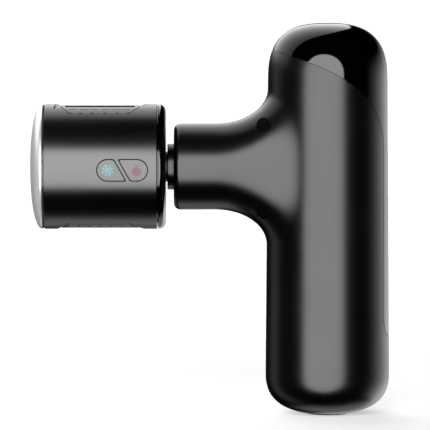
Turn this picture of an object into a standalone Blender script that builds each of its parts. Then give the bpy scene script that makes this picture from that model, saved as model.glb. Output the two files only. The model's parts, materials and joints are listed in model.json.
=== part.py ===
"""Percussion massage gun with a removable hot and cold head.

The origin is the centre of the flat pad under the grip. +Z runs up the grip,
-X points along the neck to the head, and -Y is the gun's left side.
Every dimension below is in millimetres, and angles are in degrees.
"""

import math

import bmesh
import bpy
from mathutils import Matrix, Vector

MM = 0.001
GAP = 0.3
FAR = 40.0

# Grip: a round bar with superellipse domes at both ends and a slight taper.
GRIP_HEIGHT = 146.7
GRIP_RADIUS_LOW = 23.2
GRIP_RADIUS_HIGH = 22.4
LOW_DOME_HEIGHT = 15.75
LOW_DOME_POWER = 2.6
HIGH_DOME_HEIGHT = 21.75
HIGH_DOME_POWER = 2.7
WALL = 2.4

# Neck: a round barrel that flares into the grip.
NECK_Z = 92.9
NECK_RADIUS = 16.1
NECK_END_X = -57.6
NECK_EDGE_RADIUS = 2.4
INNER_EDGE_RADIUS = 0.3
NECK_END_WALL = 2.0
MOUTH_RADIUS = 9.3
FLARE_START_X = -42.0
FLARE_HALF_HEIGHT = 29.3
FLARE_HALF_ANGLE = 63.5
FLARE_SQUARENESS = 0.62
FLARE_REACH_ON_NECK = (10.8, 15.5)
FLARE_REACH_ON_GRIP = (7.3, 8.5)
WINDOW_HALF_HEIGHT = 31.75
WINDOW_HALF_ANGLE = 75.0

# Glossy panel over the top dome and the back.
PANEL_THICKNESS = 1.1
PANEL_SEAT_DEPTH = 1.4
PANEL_SEAM_GAP = 0.3
PANEL_BACK_X = 20.7
PANEL_FRONT = (-21.5, 137.1)
PANEL_SHOULDER_Z = 99.8
PANEL_TIP = (24.6, 27.6)

# Base pad and back controls.
PAD_RADIUS = 7.5
PAD_THICKNESS = 2.0
BUTTON_Z = 78.0
BUTTON_RADIUS = 5.0
LENS_Z = 64.0
LENS_SIZE = (2.4, 12.0)
PORT_Z = 18.0
PORT_SIZE = (3.2, 8.9)
PORT_MOUTH_X = 22.0
PORT_WALL = 0.35
PORT_TONGUE = (0.7, 6.6)
BACK_WALL_X = (16.0, 27.0)
BOARD_X = 11.0
BOARD_THICKNESS = 1.2
BOARD_HALF_WIDTH = 14.0
BOARD_Z = (12.0, 84.0)
SWITCH_HALF = 2.6
SWITCH_HEIGHT = 1.6

# Screws at the root of the neck.
SCREW_X = -24.1
SCREW_OFFSET = 16.3
BOSS_RADIUS = 3.3
BOSS_REACH = 11.2
SCREW_HEAD = (2.0, 8.1, 6.6)
SCREW_SHANK = (1.0, 5.6)
SCREW_HOLE = (1.3, 7.0, 6.0)
PLUG_RADIUS = 2.35
PLUG_FLOOR_Y = 8.4
PLUG_HOLE_FLOOR_Y = 6.3
SKIN_RADIUS = 16.0

# Battery.
CELL_RADIUS = 9.15
CELL_LENGTH = 65.0
CELL_BOTTOM_Z = 10.0
CELL_OFFSET = 9.5
CELL_RIM = 0.6
STRIP_THICKNESS = 0.5
STRIP_HALF = (3.0, 12.0)
CRADLE_X = (-6.0, 9.5, 10.7)
CRADLE_Z = (7.4, 77.6)
CRADLE_LIP = 1.5
CRADLE_HALF_WIDTH = 13.5

# Motor: a bell that turns round a wound stator on a flanged base.
SHAFT_RADIUS = 2.0
SHAFT_Z = (98.5, 124.2)
BASE_FLANGE = (19.3, 104.4, 106.2)
BASE_TUBE = (4.9, 6.3, 121.0)
MOTOR_BEARING = (2.3, 4.6, 4.0)
MOTOR_BEARINGS_Z = (("lower", 105.0), ("upper", 116.5))
STATOR_TEETH = 12
STATOR_CORE_RADIUS = 9.0
STATOR_NECK_RADIUS = 12.2
STATOR_TIP_RADIUS = 13.2
STATOR_BORE_RADIUS = 6.6
STATOR_Z = (108.0, 119.0)
BELL_RADII = (15.1, 16.4)
BELL_Z = (107.4, 123.0, 124.5)
BELL_HUB = (4.0, 121.9)
MAGNET_RADII = (13.7, 14.8)

# Crank and plunger.
THROW = 3.5
CRANK_DISC_Z = (97.2, 103.2)
PIN_RADIUS = 2.5
CRANK_WEIGHT_RADIUS = 15.0
CRANK_HUB_RADIUS = 8.5
PIN_BOTTOM_Z = NECK_Z - 3.3
BEARING_RADIUS = 6.5
BEARING_HALF_HEIGHT = 2.0
RETAINER_RADIUS = 4.0
RETAINER_Z = (NECK_Z - 3.0, NECK_Z - 2.3)
YOKE_HALF_HEIGHT = 3.5
YOKE_SLACK = 0.8
YOKE_WALL = 3.0
YOKE_SIDE_WALL = 2.8
YOKE_CORNER = 2.5
LINK_HALF_WIDTH = 5.0
STUB_RADIUS = 6.0
YOKE_PIN = (1.5, 7.9)
PIN_HOLE_RADIUS = 1.8
SEAL_X = (-55.3, -53.6)
BUSH_X = (-53.3, -34.0)
SLEEVE_RADIUS = 8.6
SLEEVE_FRONT_X = -60.0
SLEEVE_REAR_X = -15.8
SLEEVE_BORE_X = -28.0
SOCKET_RADIUS = 6.2
SOCKET_FLOOR_X = -36.0
WIRE_BORE_RADIUS = 2.0
SLEEVE_EDGE = 0.4
CONTACT_DISC = (5.4, 1.0)
CONTACT_PIN = (1.6, 4.0)

# Head.
HEAD_RADIUS = 23.35
HEAD_FRONT_X = -111.4
HEAD_SEAM_X = -106.5
CAP_SEAM_X = -63.6
HEAD_REAR_X = -60.6
HOUSING_WALL = 2.05
FACE_POWER = 2.2
FACE_REAR_X = HEAD_SEAM_X - 0.2
FACE_RIM_INNER = 21.0
FACE_RIM_X = -104.2
FACE_FLOOR = (18.8, -107.2)
GASKET = (21.3, 23.1, -106.5, -106.2)
CAP_EDGE_RADIUS = 2.6
CAP_WALL = 2.2
CAP_SPIGOT = (19.0, 21.0, -65.6)
CAP_BORE_RADIUS = 5.9

# Vents in the head: a recess with slanted ends round a slotted grille.
VENT_DEPTH = 0.4
VENT_HALF_WIDTH = 10.6
VENT_ENDS_X = (-99.8, -70.4)
VENT_CORNERS_X = (-96.8, -74.1)
VENT_END_HALF_WIDTH = 5.0
SCOOP_HALF_WIDTH = 11.3
SCOOP_ENDS_X = (-101.4, -68.1)
SCOOP_CORNERS_X = (-97.2, -73.7)
GRILLE_THICKNESS = 1.3
GRILLE_CLEARANCE = 0.25
GRILLE_MIDDLE_X = -85.45
GRILLE_SLOTS = ((-7.6, 11.5), (-2.6, 12.5), (2.6, 12.5), (7.6, 11.5))
GRILLE_SLOT_HALF_WIDTH = 0.75

# Keys in the head's left side.
KEY_RADIUS = 4.05
KEY_CENTRES_X = (-82.0, -71.2)
KEY_SPLIT_X = (-77.45, -75.9)
KEY_SPLIT_LEAN = 0.56
KEY_CORNER = 0.75
KEY_CLEARANCE = 0.2
KEY_FLOOR_Y = 20.4
KEY_HOLE_FLOOR_Y = 18.0

# Plug that holds the head in the plunger's socket.
FLANGE_RADIUS = 9.4
FLANGE_X = (-65.6, -63.2)
PLUG_BODY_RADIUS = 5.6
PLUG_TIP_X = -38.6
PLUG_GROOVE = (4.7, -46.2, -43.8)
O_RING = (4.95, 5.95, -45.9, -44.1)
PLUG_CONTACT_X = (-60.0, -37.6)
PLUG_CONTACT_RADIUS = 1.7
PLUG_SCREW_CIRCLE = 7.5
PLUG_SCREW_HEAD = (1.6, -66.9, -65.9)
PLUG_SCREW_SHANK = (0.8, -61.9)
PLUG_SCREW_HOLE_RADIUS = 1.1

# Inside the head.
PELTIER_X = (-106.9, -103.4)
PELTIER_HALF = 12.5
SINK_BASE_X = (-103.1, -101.0)
SINK_RADIUS = 18.0
FIN_TIP_X = -91.4
FIN_COUNT = 8
FIN_PITCH = 4.2
FIN_THICKNESS = 1.2
FAN_FRAME = (13.9, 15.4, -90.6, -82.6)
FAN_BACK_X = (-84.0, -82.6)
FAN_HUB_RADIUS = 4.6
FAN_HUB_X = (-90.2, -89.0, -84.4)
FAN_SPINDLE = (0.9, -88.6, -83.0)
FAN_ARMS = 3
FAN_X = -87.0
FAN_BLADES = 7
BLADE_HALF = (0.35, 3.4)
BLADE_REACH = (4.0, 13.3)
BLADE_PITCH = 52.0
HEAD_BOARD = (4.0, 16.3, -70.6, -69.4)
SWITCH_BOARD_X = (-87.0, -66.5)
SWITCH_BOARD_Y = (-18.2, -17.2)
SWITCH_BOARD_HALF_HEIGHT = 5.0
KEY_SWITCH_HALF = 1.8
KEY_SWITCH_TOP_Y = -19.4

STYLES = {
    "satin_black": ((0.022, 0.022, 0.023), 0.42, 0.0),
    "gloss_black": ((0.008, 0.008, 0.009), 0.08, 0.0),
    "matte_black": ((0.015, 0.015, 0.015), 0.7, 0.0),
    "rubber": ((0.02, 0.02, 0.02), 0.85, 0.0),
    "felt": ((0.06, 0.06, 0.065), 0.95, 0.0),
    "aluminium": ((0.78, 0.78, 0.79), 0.3, 1.0),
    "steel": ((0.6, 0.6, 0.62), 0.3, 1.0),
    "brass": ((0.75, 0.55, 0.25), 0.3, 1.0),
    "copper": ((0.7, 0.35, 0.2), 0.4, 1.0),
    "acetal": ((0.85, 0.84, 0.8), 0.5, 0.0),
    "ceramic": ((0.88, 0.88, 0.86), 0.6, 0.0),
    "cell_wrap": ((0.05, 0.25, 0.3), 0.35, 0.0),
    "board_green": ((0.02, 0.16, 0.07), 0.5, 0.0),
    "smoked_lens": ((0.12, 0.12, 0.13), 0.15, 0.0),
}


# ---------------------------------------------------------------- helpers


def clear_scene():
    for item in list(bpy.data.objects):
        bpy.data.objects.remove(item, do_unlink=True)


def style(name):
    known = bpy.data.materials.get(name)
    if known:
        return known
    colour, roughness, metallic = STYLES[name]
    made = bpy.data.materials.new(name)
    made.use_nodes = True
    shader = made.node_tree.nodes["Principled BSDF"]
    shader.inputs["Base Color"].default_value = (*colour, 1.0)
    shader.inputs["Roughness"].default_value = roughness
    shader.inputs["Metallic"].default_value = metallic
    made.diffuse_color = (*colour, 1.0)
    return made


def hang(item, parent):
    """Parents an item and leaves it where its own location says."""
    item.parent = parent
    item.matrix_parent_inverse = Matrix.Translation(parent.location).inverted()


def frame_at(name, point, parent=None):
    """An empty on a joint's axis, which the moving pieces hang from."""
    empty = bpy.data.objects.new(name, None)
    empty.location = Vector(point) * MM
    bpy.context.scene.collection.objects.link(empty)
    if parent:
        hang(empty, parent)
    return empty


def add_object(name, bm, location, turn=(0.0, 0.0, 0.0)):
    bmesh.ops.recalc_face_normals(bm, faces=bm.faces)
    mesh = bpy.data.meshes.new(name)
    bm.to_mesh(mesh)
    bm.free()
    mesh.shade_smooth()
    mesh.set_sharp_from_angle(angle=math.radians(30.0))
    item = bpy.data.objects.new(name, mesh)
    item.location = Vector(location) * MM
    item.rotation_euler = [math.radians(part) for part in turn]
    bpy.context.scene.collection.objects.link(item)
    return item


def piece(name, bm, style_name, parent, location=(0.0, 0.0, 0.0), turn=(0.0, 0.0, 0.0)):
    item = add_object(name, bm, location, turn)
    item.data.materials.append(style(style_name))
    hang(item, parent)
    return item


def cutter(name, bm, location=(0.0, 0.0, 0.0), turn=(0.0, 0.0, 0.0)):
    item = add_object(name, bm, location, turn)
    item.hide_render = True
    item.display_type = "WIRE"
    return item


def boolean(target, other, operation):
    change = target.modifiers.new(other.name, "BOOLEAN")
    change.operation = operation
    change.solver = "EXACT"
    change.object = other


def cut(target, *others):
    for other in others:
        boolean(target, other, "DIFFERENCE")


def join(target, *others):
    for other in others:
        boolean(target, other, "UNION")


def keep(target, other):
    boolean(target, other, "INTERSECT")


ALONG_X = (0.0, 90.0, 0.0)
ALONG_Y = (-90.0, 0.0, 0.0)


def turned(profile, segments=24, ring=True):
    """Solid of revolution about Z from (radius, height) points.

    A ring's outline is closed; otherwise it starts and ends on the axis.
    """
    bm = bmesh.new()
    verts = [bm.verts.new((radius * MM, 0.0, height * MM)) for radius, height in profile]
    edges = [bm.edges.new(pair) for pair in zip(verts, verts[1:])]
    if ring:
        edges.append(bm.edges.new((verts[-1], verts[0])))
    bmesh.ops.spin(
        bm,
        geom=verts + edges,
        cent=(0.0, 0.0, 0.0),
        axis=(0.0, 0.0, 1.0),
        angle=2.0 * math.pi,
        steps=segments,
        use_duplicate=False,
    )
    bmesh.ops.remove_doubles(bm, verts=bm.verts, dist=1e-6)
    return bm


def rod(radius, low, high, segments=24):
    return turned([(0.0, low), (radius, low), (radius, high), (0.0, high)], segments, ring=False)


def tube(inner, outer, low, high, segments=24):
    return turned([(inner, low), (outer, low), (outer, high), (inner, high)], segments)


def block(low, high):
    bm = bmesh.new()
    bmesh.ops.create_cube(bm, size=1.0)
    for vert in bm.verts:
        for axis in range(3):
            vert.co[axis] = (low[axis] if vert.co[axis] < 0.0 else high[axis]) * MM
    return bm


def prism(outline, axis, low, high):
    """Extrudes an outline along an axis. Its points are the other two axes in X, Y, Z order."""
    others = [index for index in range(3) if index != axis]
    bm = bmesh.new()
    verts = []
    for point in outline:
        place = [0.0, 0.0, 0.0]
        place[axis] = low * MM
        place[others[0]] = point[0] * MM
        place[others[1]] = point[1] * MM
        verts.append(bm.verts.new(place))
    base = bm.faces.new(verts)
    grown = bmesh.ops.extrude_face_region(bm, geom=[base])
    moved = [item for item in grown["geom"] if isinstance(item, bmesh.types.BMVert)]
    step = [0.0, 0.0, 0.0]
    step[axis] = (high - low) * MM
    bmesh.ops.translate(bm, verts=moved, vec=step)
    return bm


def arc(centre, radius, start, end, steps):
    points = []
    for index in range(steps + 1):
        angle = math.radians(start + (end - start) * index / steps)
        points.append((centre[0] + radius * math.cos(angle), centre[1] + radius * math.sin(angle)))
    return points


def bezier(start, first, second, end, steps):
    points = []
    for index in range(steps + 1):
        t = index / steps
        weights = ((1 - t) ** 3, 3 * t * (1 - t) ** 2, 3 * t * t * (1 - t), t**3)
        points.append(tuple(
            sum(weight * point[axis] for weight, point in zip(weights, (start, first, second, end)))
            for axis in range(len(start))
        ))
    return points


def stadium(width, height, centre, steps=6):
    """Outline with round ends, longer along its first axis."""
    radius = height / 2.0
    run = width / 2.0 - radius
    right = arc((centre[0] + run, centre[1]), radius, -90.0, 90.0, steps)
    left = arc((centre[0] - run, centre[1]), radius, 90.0, 270.0, steps)
    return right + left


def offset_path(points, amount):
    """Moves an open path sideways, to the left of its direction."""
    moved = []
    for index, point in enumerate(points):
        before = Vector(points[max(index - 1, 0)])
        after = Vector(points[min(index + 1, len(points) - 1)])
        along = (after - before).normalized()
        moved.append((point[0] - along.y * amount, point[1] + along.x * amount))
    return moved


# ------------------------------------------------------- grip and neck skin


def grip_radius(z, inset):
    low_z = LOW_DOME_HEIGHT
    high_z = GRIP_HEIGHT - HIGH_DOME_HEIGHT
    share = (z - low_z) / (high_z - low_z)
    return GRIP_RADIUS_LOW + (GRIP_RADIUS_HIGH - GRIP_RADIUS_LOW) * share - inset


def dome(radius, height, power, steps):
    """Superellipse quarter from the rim up to just before the pole, as (radius, height)."""
    points = []
    for index in range(steps):
        angle = 0.5 * math.pi * index / steps
        points.append((
            radius * math.cos(angle) ** (2.0 / power),
            height * math.sin(angle) ** (2.0 / power),
        ))
    return points


def grip_solid(inset, segments=28, steps=5):
    """The grip without its neck, shrunk by the inset."""
    low = dome(GRIP_RADIUS_LOW - inset, LOW_DOME_HEIGHT - inset, LOW_DOME_POWER, steps)
    high = dome(GRIP_RADIUS_HIGH - inset, HIGH_DOME_HEIGHT - inset, HIGH_DOME_POWER, steps)
    top_z = GRIP_HEIGHT - HIGH_DOME_HEIGHT
    profile = [(0.0, inset)]
    profile += [(radius, LOW_DOME_HEIGHT - height) for radius, height in reversed(low)]
    profile += [(radius, top_z + height) for radius, height in high]
    profile.append((0.0, GRIP_HEIGHT - inset))
    return turned(profile, segments, ring=False)


def on_grip(angle, z, inset):
    """Point on the grip's side; the angle is from -X towards -Y."""
    radius = grip_radius(z, inset)
    return (-radius * math.cos(angle), -radius * math.sin(angle), z)


def powered(value, power):
    """A power that keeps the value's sign."""
    return math.copysign(abs(value) ** power, value)


def flare_foot(spread):
    """The flare's edge on the grip: the angle round the grip and the height above the neck's axis."""
    angle = math.radians(FLARE_HALF_ANGLE) * powered(math.sin(spread), FLARE_SQUARENESS)
    return angle, FLARE_HALF_HEIGHT * powered(math.cos(spread), FLARE_SQUARENESS)


def flare_curve(turn, spread, inset, steps):
    """From the flare's edge on the grip to the neck, tangent to both.

    turn is the angle round the neck's axis and spread the matching one on the grip.
    """
    side = math.sin(turn) ** 2
    angle, height = flare_foot(spread)
    foot = Vector(on_grip(angle, NECK_Z + height, inset))
    outward = Vector((GRIP_RADIUS_HIGH * angle, height)).normalized()
    along_grip = Vector((math.sin(angle) * outward.x, -math.cos(angle) * outward.x, outward.y))
    reach_grip = FLARE_REACH_ON_GRIP[0] * (1 - side) + FLARE_REACH_ON_GRIP[1] * side
    reach_neck = FLARE_REACH_ON_NECK[0] * (1 - side) + FLARE_REACH_ON_NECK[1] * side
    radius = NECK_RADIUS - inset
    start = Vector((FLARE_START_X, -radius * math.sin(turn), NECK_Z + radius * math.cos(turn)))
    return bezier(
        foot,
        foot - along_grip * reach_grip,
        start + Vector((reach_neck, 0.0, 0.0)),
        start,
        steps,
    )


def neck_rings(inset, end_x, edge_radius, edge_steps):
    """(x, radius) of the neck's rings from the flare to the end face."""
    radius = NECK_RADIUS - inset
    rings = []
    for index in range(edge_steps + 1):
        angle = 0.5 * math.pi * index / edge_steps
        rings.append((
            end_x + edge_radius * (1.0 - math.sin(angle)),
            radius - edge_radius * (1.0 - math.cos(angle)),
        ))
    return rings


def body_solid(inset, end_x, edge_radius, columns=14, rows=6, back_columns=18,
               dome_steps=5, flare_steps=5, edge_steps=2):
    """Closed skin of the grip, flare and neck, shrunk by the inset.

    The grip is a grid of columns and rows with a window, and rings lead from the window's
    edge over the flare to the neck.
    """
    window = math.radians(WINDOW_HALF_ANGLE)
    angles = [-window + 2.0 * window * index / columns for index in range(columns)]
    rest = 2.0 * math.pi - 2.0 * window
    angles += [window + rest * index / back_columns for index in range(back_columns)]
    count = len(angles)
    top_z = GRIP_HEIGHT - HIGH_DOME_HEIGHT
    low_z = NECK_Z - WINDOW_HALF_HEIGHT
    levels = [low_z + 2.0 * WINDOW_HALF_HEIGHT * index / rows for index in range(rows + 1)]

    low = dome(GRIP_RADIUS_LOW - inset, LOW_DOME_HEIGHT - inset, LOW_DOME_POWER, dome_steps)
    high = dome(GRIP_RADIUS_HIGH - inset, HIGH_DOME_HEIGHT - inset, HIGH_DOME_POWER, dome_steps)
    outline = [(radius, LOW_DOME_HEIGHT - height) for radius, height in reversed(low)]
    first_level = len(outline)
    outline += [(grip_radius(z, inset), z) for z in levels[:-1]]
    last_level = len(outline)
    outline += [(radius, top_z + height) for radius, height in high]

    bm = bmesh.new()

    def vertex(point):
        return bm.verts.new([value * MM for value in point])

    grid = []
    for row, (radius, z) in enumerate(outline):
        line = []
        for column, angle in enumerate(angles):
            inside = first_level < row < last_level and 0 < column < columns
            place = (-radius * math.cos(angle), -radius * math.sin(angle), z)
            line.append(None if inside else vertex(place))
        grid.append(line)
    for row in range(len(outline) - 1):
        for column in range(count):
            if first_level <= row < last_level and column < columns:
                continue
            after = (column + 1) % count
            bm.faces.new((grid[row][column], grid[row][after], grid[row + 1][after], grid[row + 1][column]))
    for line, z in ((grid[0], inset), (grid[-1], GRIP_HEIGHT - inset)):
        pole = vertex((0.0, 0.0, z))
        for column in range(count):
            bm.faces.new((line[column], line[(column + 1) % count], pole))

    middle = columns // 2
    border = [(last_level, column) for column in range(middle, columns)]
    border += [(row, columns) for row in range(last_level, first_level, -1)]
    border += [(first_level, column) for column in range(columns, 0, -1)]
    border += [(row, 0) for row in range(first_level, last_level)]
    border += [(last_level, column) for column in range(middle)]
    ring_size = len(border)

    ring = [grid[row][column] for row, column in border]
    curves = []
    for index, (row, column) in enumerate(border):
        even = 2.0 * math.pi * index / ring_size
        angle = angles[column] if column < columns else window
        height = outline[row][1] - NECK_Z
        across = powered(angle / math.radians(FLARE_HALF_ANGLE), 1.0 / FLARE_SQUARENESS)
        along = powered(height / FLARE_HALF_HEIGHT, 1.0 / FLARE_SQUARENESS)
        straight = math.atan2(across, along) % (2.0 * math.pi)
        if index == 0:
            straight = 0.0
        curves.append(flare_curve(even, 0.5 * (even + straight), inset, flare_steps))

    def bridge(old, points):
        new = [vertex(point) for point in points]
        for index in range(ring_size):
            after = (index + 1) % ring_size
            bm.faces.new((old[index], old[after], new[after], new[index]))
        return new

    for step in range(flare_steps + 1):
        ring = bridge(ring, [curve[step] for curve in curves])
    for x, radius in neck_rings(inset, end_x, edge_radius, edge_steps):
        turns = [2.0 * math.pi * index / ring_size for index in range(ring_size)]
        ring = bridge(ring, [(x, -radius * math.sin(turn), NECK_Z + radius * math.cos(turn)) for turn in turns])
    bm.faces.new(ring)
    return bm


# -------------------------------------------------------------- the panel


def panel_seam():
    """The panel's edge in side view, from in front of the top dome to behind the grip's foot."""
    shoulder = (PANEL_BACK_X, PANEL_SHOULDER_Z)
    front = bezier(PANEL_FRONT, (3.0, 130.4), (PANEL_BACK_X, 122.6), shoulder, 12)
    tip = bezier((PANEL_BACK_X, 38.0), (PANEL_BACK_X, 33.5), (21.6, 29.6), PANEL_TIP, 5)
    return [(PANEL_FRONT[0] - 5.5, PANEL_FRONT[1] + 1.5)] + front + tip


def panel_region(name, amount):
    """Everything above and behind the seam, grown by the amount."""
    seam = offset_path(panel_seam(), -amount)
    top = GRIP_HEIGHT + FAR
    outline = seam + [(FAR, seam[-1][1]), (FAR, top), (seam[0][0], top)]
    return cutter(name, prism(outline, 1, -FAR, FAR))


# --------------------------------------------------------------- gun body


def back_opening(name, outline):
    """Hole through the back wall along X; the outline is in Y and Z."""
    return cutter(name, prism(outline, 0, *BACK_WALL_X))


def round_outline(centre, radius, steps=24):
    return arc(centre, radius, 0.0, 360.0, steps)[:-1]


def build_shells(root):
    seat = panel_region("panel_seat", PANEL_SEAM_GAP / 2.0)
    cut(seat, cutter("panel_floor", grip_solid(PANEL_SEAT_DEPTH)))
    inner_end = NECK_END_X + NECK_END_WALL
    cavity = cutter("grip_cavity", body_solid(
        WALL, inner_end, INNER_EDGE_RADIUS,
        columns=10, rows=4, back_columns=14, dome_steps=3, flare_steps=3, edge_steps=1,
    ))
    axis = (0.0, 0.0, NECK_Z)
    mouth = cutter("neck_mouth", rod(MOUTH_RADIUS, NECK_END_X - WALL, inner_end + WALL), axis, ALONG_X)
    pad_seat = cutter("pad_seat", rod(PAD_RADIUS + GAP, -1.0, PAD_THICKNESS + GAP))
    power_hole = back_opening("power_hole", round_outline((0.0, BUTTON_Z), BUTTON_RADIUS + 0.5))
    lens_hole = back_opening("lens_hole", upright(LENS_SIZE, LENS_Z, 0.5, 4))
    port_hole = back_opening("port_hole", upright(PORT_SIZE, PORT_Z, 0.35, 6))

    # A raised floor leaves a wall above the pad's seat, and the limit keeps bosses inside the skin.
    cut(cavity, cutter("cavity_floor", rod(12.0, 1.0, 5.0)))
    boss_limit = cutter("boss_limit", body_solid(0.8, inner_end, INNER_EDGE_RADIUS))

    for name, side in (("left_shell", -1), ("right_shell", 1)):
        shell = piece(name, body_solid(0.0, NECK_END_X, NECK_EDGE_RADIUS), "satin_black", root)
        low_y, high_y = sorted((side * GAP / 2.0, side * FAR))
        half_block = block((NECK_END_X - FAR, low_y, -FAR), (FAR, high_y, GRIP_HEIGHT + FAR))
        keep(shell, cutter(f"{name}_half", half_block))
        cut(shell, cavity)
        for label, z in screw_levels():
            place = (SCREW_X, 0.0, z)
            reach = sorted((side * BOSS_REACH, side * GAP / 2.0))
            boss = cutter(f"{name}_boss_{label}", rod(BOSS_RADIUS, *reach, 16), place, ALONG_Y)
            keep(boss, boss_limit)
            join(shell, boss)
            hole_radius, hole_left, hole_right = SCREW_HOLE
            hole = rod(hole_radius, -hole_left, hole_right, 12)
            cut(shell, cutter(f"{name}_screw_hole_{label}", hole, place, ALONG_Y))
            if side < 0:
                seat_hole = rod(PLUG_RADIUS + 0.2, -SKIN_RADIUS, -PLUG_HOLE_FLOOR_Y, 16)
                cut(shell, cutter(f"{name}_plug_hole_{label}", seat_hole, place, ALONG_Y))
        cut(shell, seat, mouth, pad_seat, power_hole, lens_hole, port_hole)


def screw_levels():
    return (("upper", NECK_Z + SCREW_OFFSET), ("lower", NECK_Z - SCREW_OFFSET))


def upright(size, middle_z, extra, steps):
    """Outline with round ends in Y and Z, longer along Z."""
    width, height = size[0] + 2.0 * extra, size[1] + 2.0 * extra
    return [(y, middle_z + z) for z, y in stadium(height, width, (0.0, 0.0), steps)]


def build_panel(root):
    panel = piece("gloss_panel", body_solid(0.0, NECK_END_X, NECK_EDGE_RADIUS), "gloss_black", root)
    keep(panel, panel_region("panel_outline", -PANEL_SEAM_GAP / 2.0))
    cut(panel, cutter("panel_inside", grip_solid(PANEL_THICKNESS)))
    cut(panel, back_opening("panel_power_hole", round_outline((0.0, BUTTON_Z), BUTTON_RADIUS + GAP)))
    cut(panel, back_opening("panel_lens_hole", upright(LENS_SIZE, LENS_Z, GAP, 4)))


def build_screws(root):
    skin = cutter("plug_skin", body_solid(0.1, NECK_END_X, NECK_EDGE_RADIUS))
    head_radius, head_top, head_bottom = SCREW_HEAD
    shank_radius, shank_end = SCREW_SHANK
    screw = [
        (0.0, -head_top), (head_radius, -head_top), (head_radius, -head_bottom),
        (shank_radius, -head_bottom), (shank_radius, shank_end), (0.0, shank_end),
    ]
    for label, z in screw_levels():
        place = (SCREW_X, 0.0, z)
        body = rod(PLUG_RADIUS, -SKIN_RADIUS, -PLUG_FLOOR_Y, 16)
        plug = piece(f"screw_plug_{label}", body, "matte_black", root, place, ALONG_Y)
        keep(plug, skin)
        piece(f"shell_screw_{label}", turned(screw, 12, ring=False), "steel", root, place, ALONG_Y)


def build_base(root):
    edge = 0.4
    profile = [
        (0.0, 0.0), (PAD_RADIUS - edge, 0.0), (PAD_RADIUS, edge),
        (PAD_RADIUS, PAD_THICKNESS), (0.0, PAD_THICKNESS),
    ]
    piece("base_pad", turned(profile, 32, ring=False), "rubber", root)


def build_neck_bearings(root):
    inner, outer = SLEEVE_RADIUS + GAP, NECK_RADIUS - WALL - GAP
    axis = (0.0, 0.0, NECK_Z)
    piece("dust_seal", tube(inner, outer, *SEAL_X), "felt", root, axis, ALONG_X)
    piece("guide_bush", tube(inner, outer, *BUSH_X), "acetal", root, axis, ALONG_X)


def build_motor_fixed(root):
    flange_radius, flange_low, flange_high = BASE_FLANGE
    tube_inner, tube_outer, tube_top = BASE_TUBE
    base = [
        (tube_inner, flange_low), (flange_radius, flange_low), (flange_radius, flange_high),
        (tube_outer, flange_high), (tube_outer, tube_top), (tube_inner, tube_top),
    ]
    piece("motor_base", turned(base), "aluminium", root)
    inner, outer, height = MOTOR_BEARING
    for label, low in MOTOR_BEARINGS_Z:
        piece(f"motor_bearing_{label}", tube(inner, outer, low, low + height, 20), "steel", root)
    tooth = (
        (STATOR_CORE_RADIUS, -10.0), (STATOR_NECK_RADIUS, -5.0), (STATOR_TIP_RADIUS, -11.5),
        (STATOR_TIP_RADIUS, 11.5), (STATOR_NECK_RADIUS, 5.0), (STATOR_CORE_RADIUS, 10.0),
    )
    outline = []
    for number in range(STATOR_TEETH):
        for radius, angle in tooth:
            turn = math.radians(360.0 * number / STATOR_TEETH + angle)
            outline.append((radius * math.cos(turn), radius * math.sin(turn)))
    low, high = STATOR_Z
    stator = piece("stator", prism(outline, 2, low, high), "copper", root)
    cut(stator, cutter("stator_bore", rod(STATOR_BORE_RADIUS, low - 3.0, high + 3.0, 24)))


def build_battery(root):
    top_z = CELL_BOTTOM_Z + CELL_LENGTH
    profile = [
        (0.0, CELL_BOTTOM_Z), (CELL_RADIUS - CELL_RIM, CELL_BOTTOM_Z), (CELL_RADIUS, CELL_BOTTOM_Z + CELL_RIM),
        (CELL_RADIUS, top_z - CELL_RIM), (CELL_RADIUS - CELL_RIM, top_z), (0.0, top_z),
    ]
    for label, y in (("left", -CELL_OFFSET), ("right", CELL_OFFSET)):
        piece(f"cell_{label}", turned(profile, 24, ring=False), "cell_wrap", root, (0.0, y, 0.0))
    half_x, half_y = STRIP_HALF
    for label, low in (("bottom", CELL_BOTTOM_Z - GAP - STRIP_THICKNESS), ("top", top_z + GAP)):
        strip = block((-half_x, -half_y, low), (half_x, half_y, low + STRIP_THICKNESS))
        piece(f"bus_strip_{label}", strip, "steel", root)
    front, plate_front, plate_back = CRADLE_X
    low, high = CRADLE_Z
    outline = [
        (front, low), (plate_back, low), (plate_back, high), (front, high),
        (front, high - CRADLE_LIP), (plate_front, high - CRADLE_LIP),
        (plate_front, low + CRADLE_LIP), (front, low + CRADLE_LIP),
    ]
    cradle = prism(outline, 1, -CRADLE_HALF_WIDTH, CRADLE_HALF_WIDTH)
    piece("cell_cradle", cradle, "matte_black", root)


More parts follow.
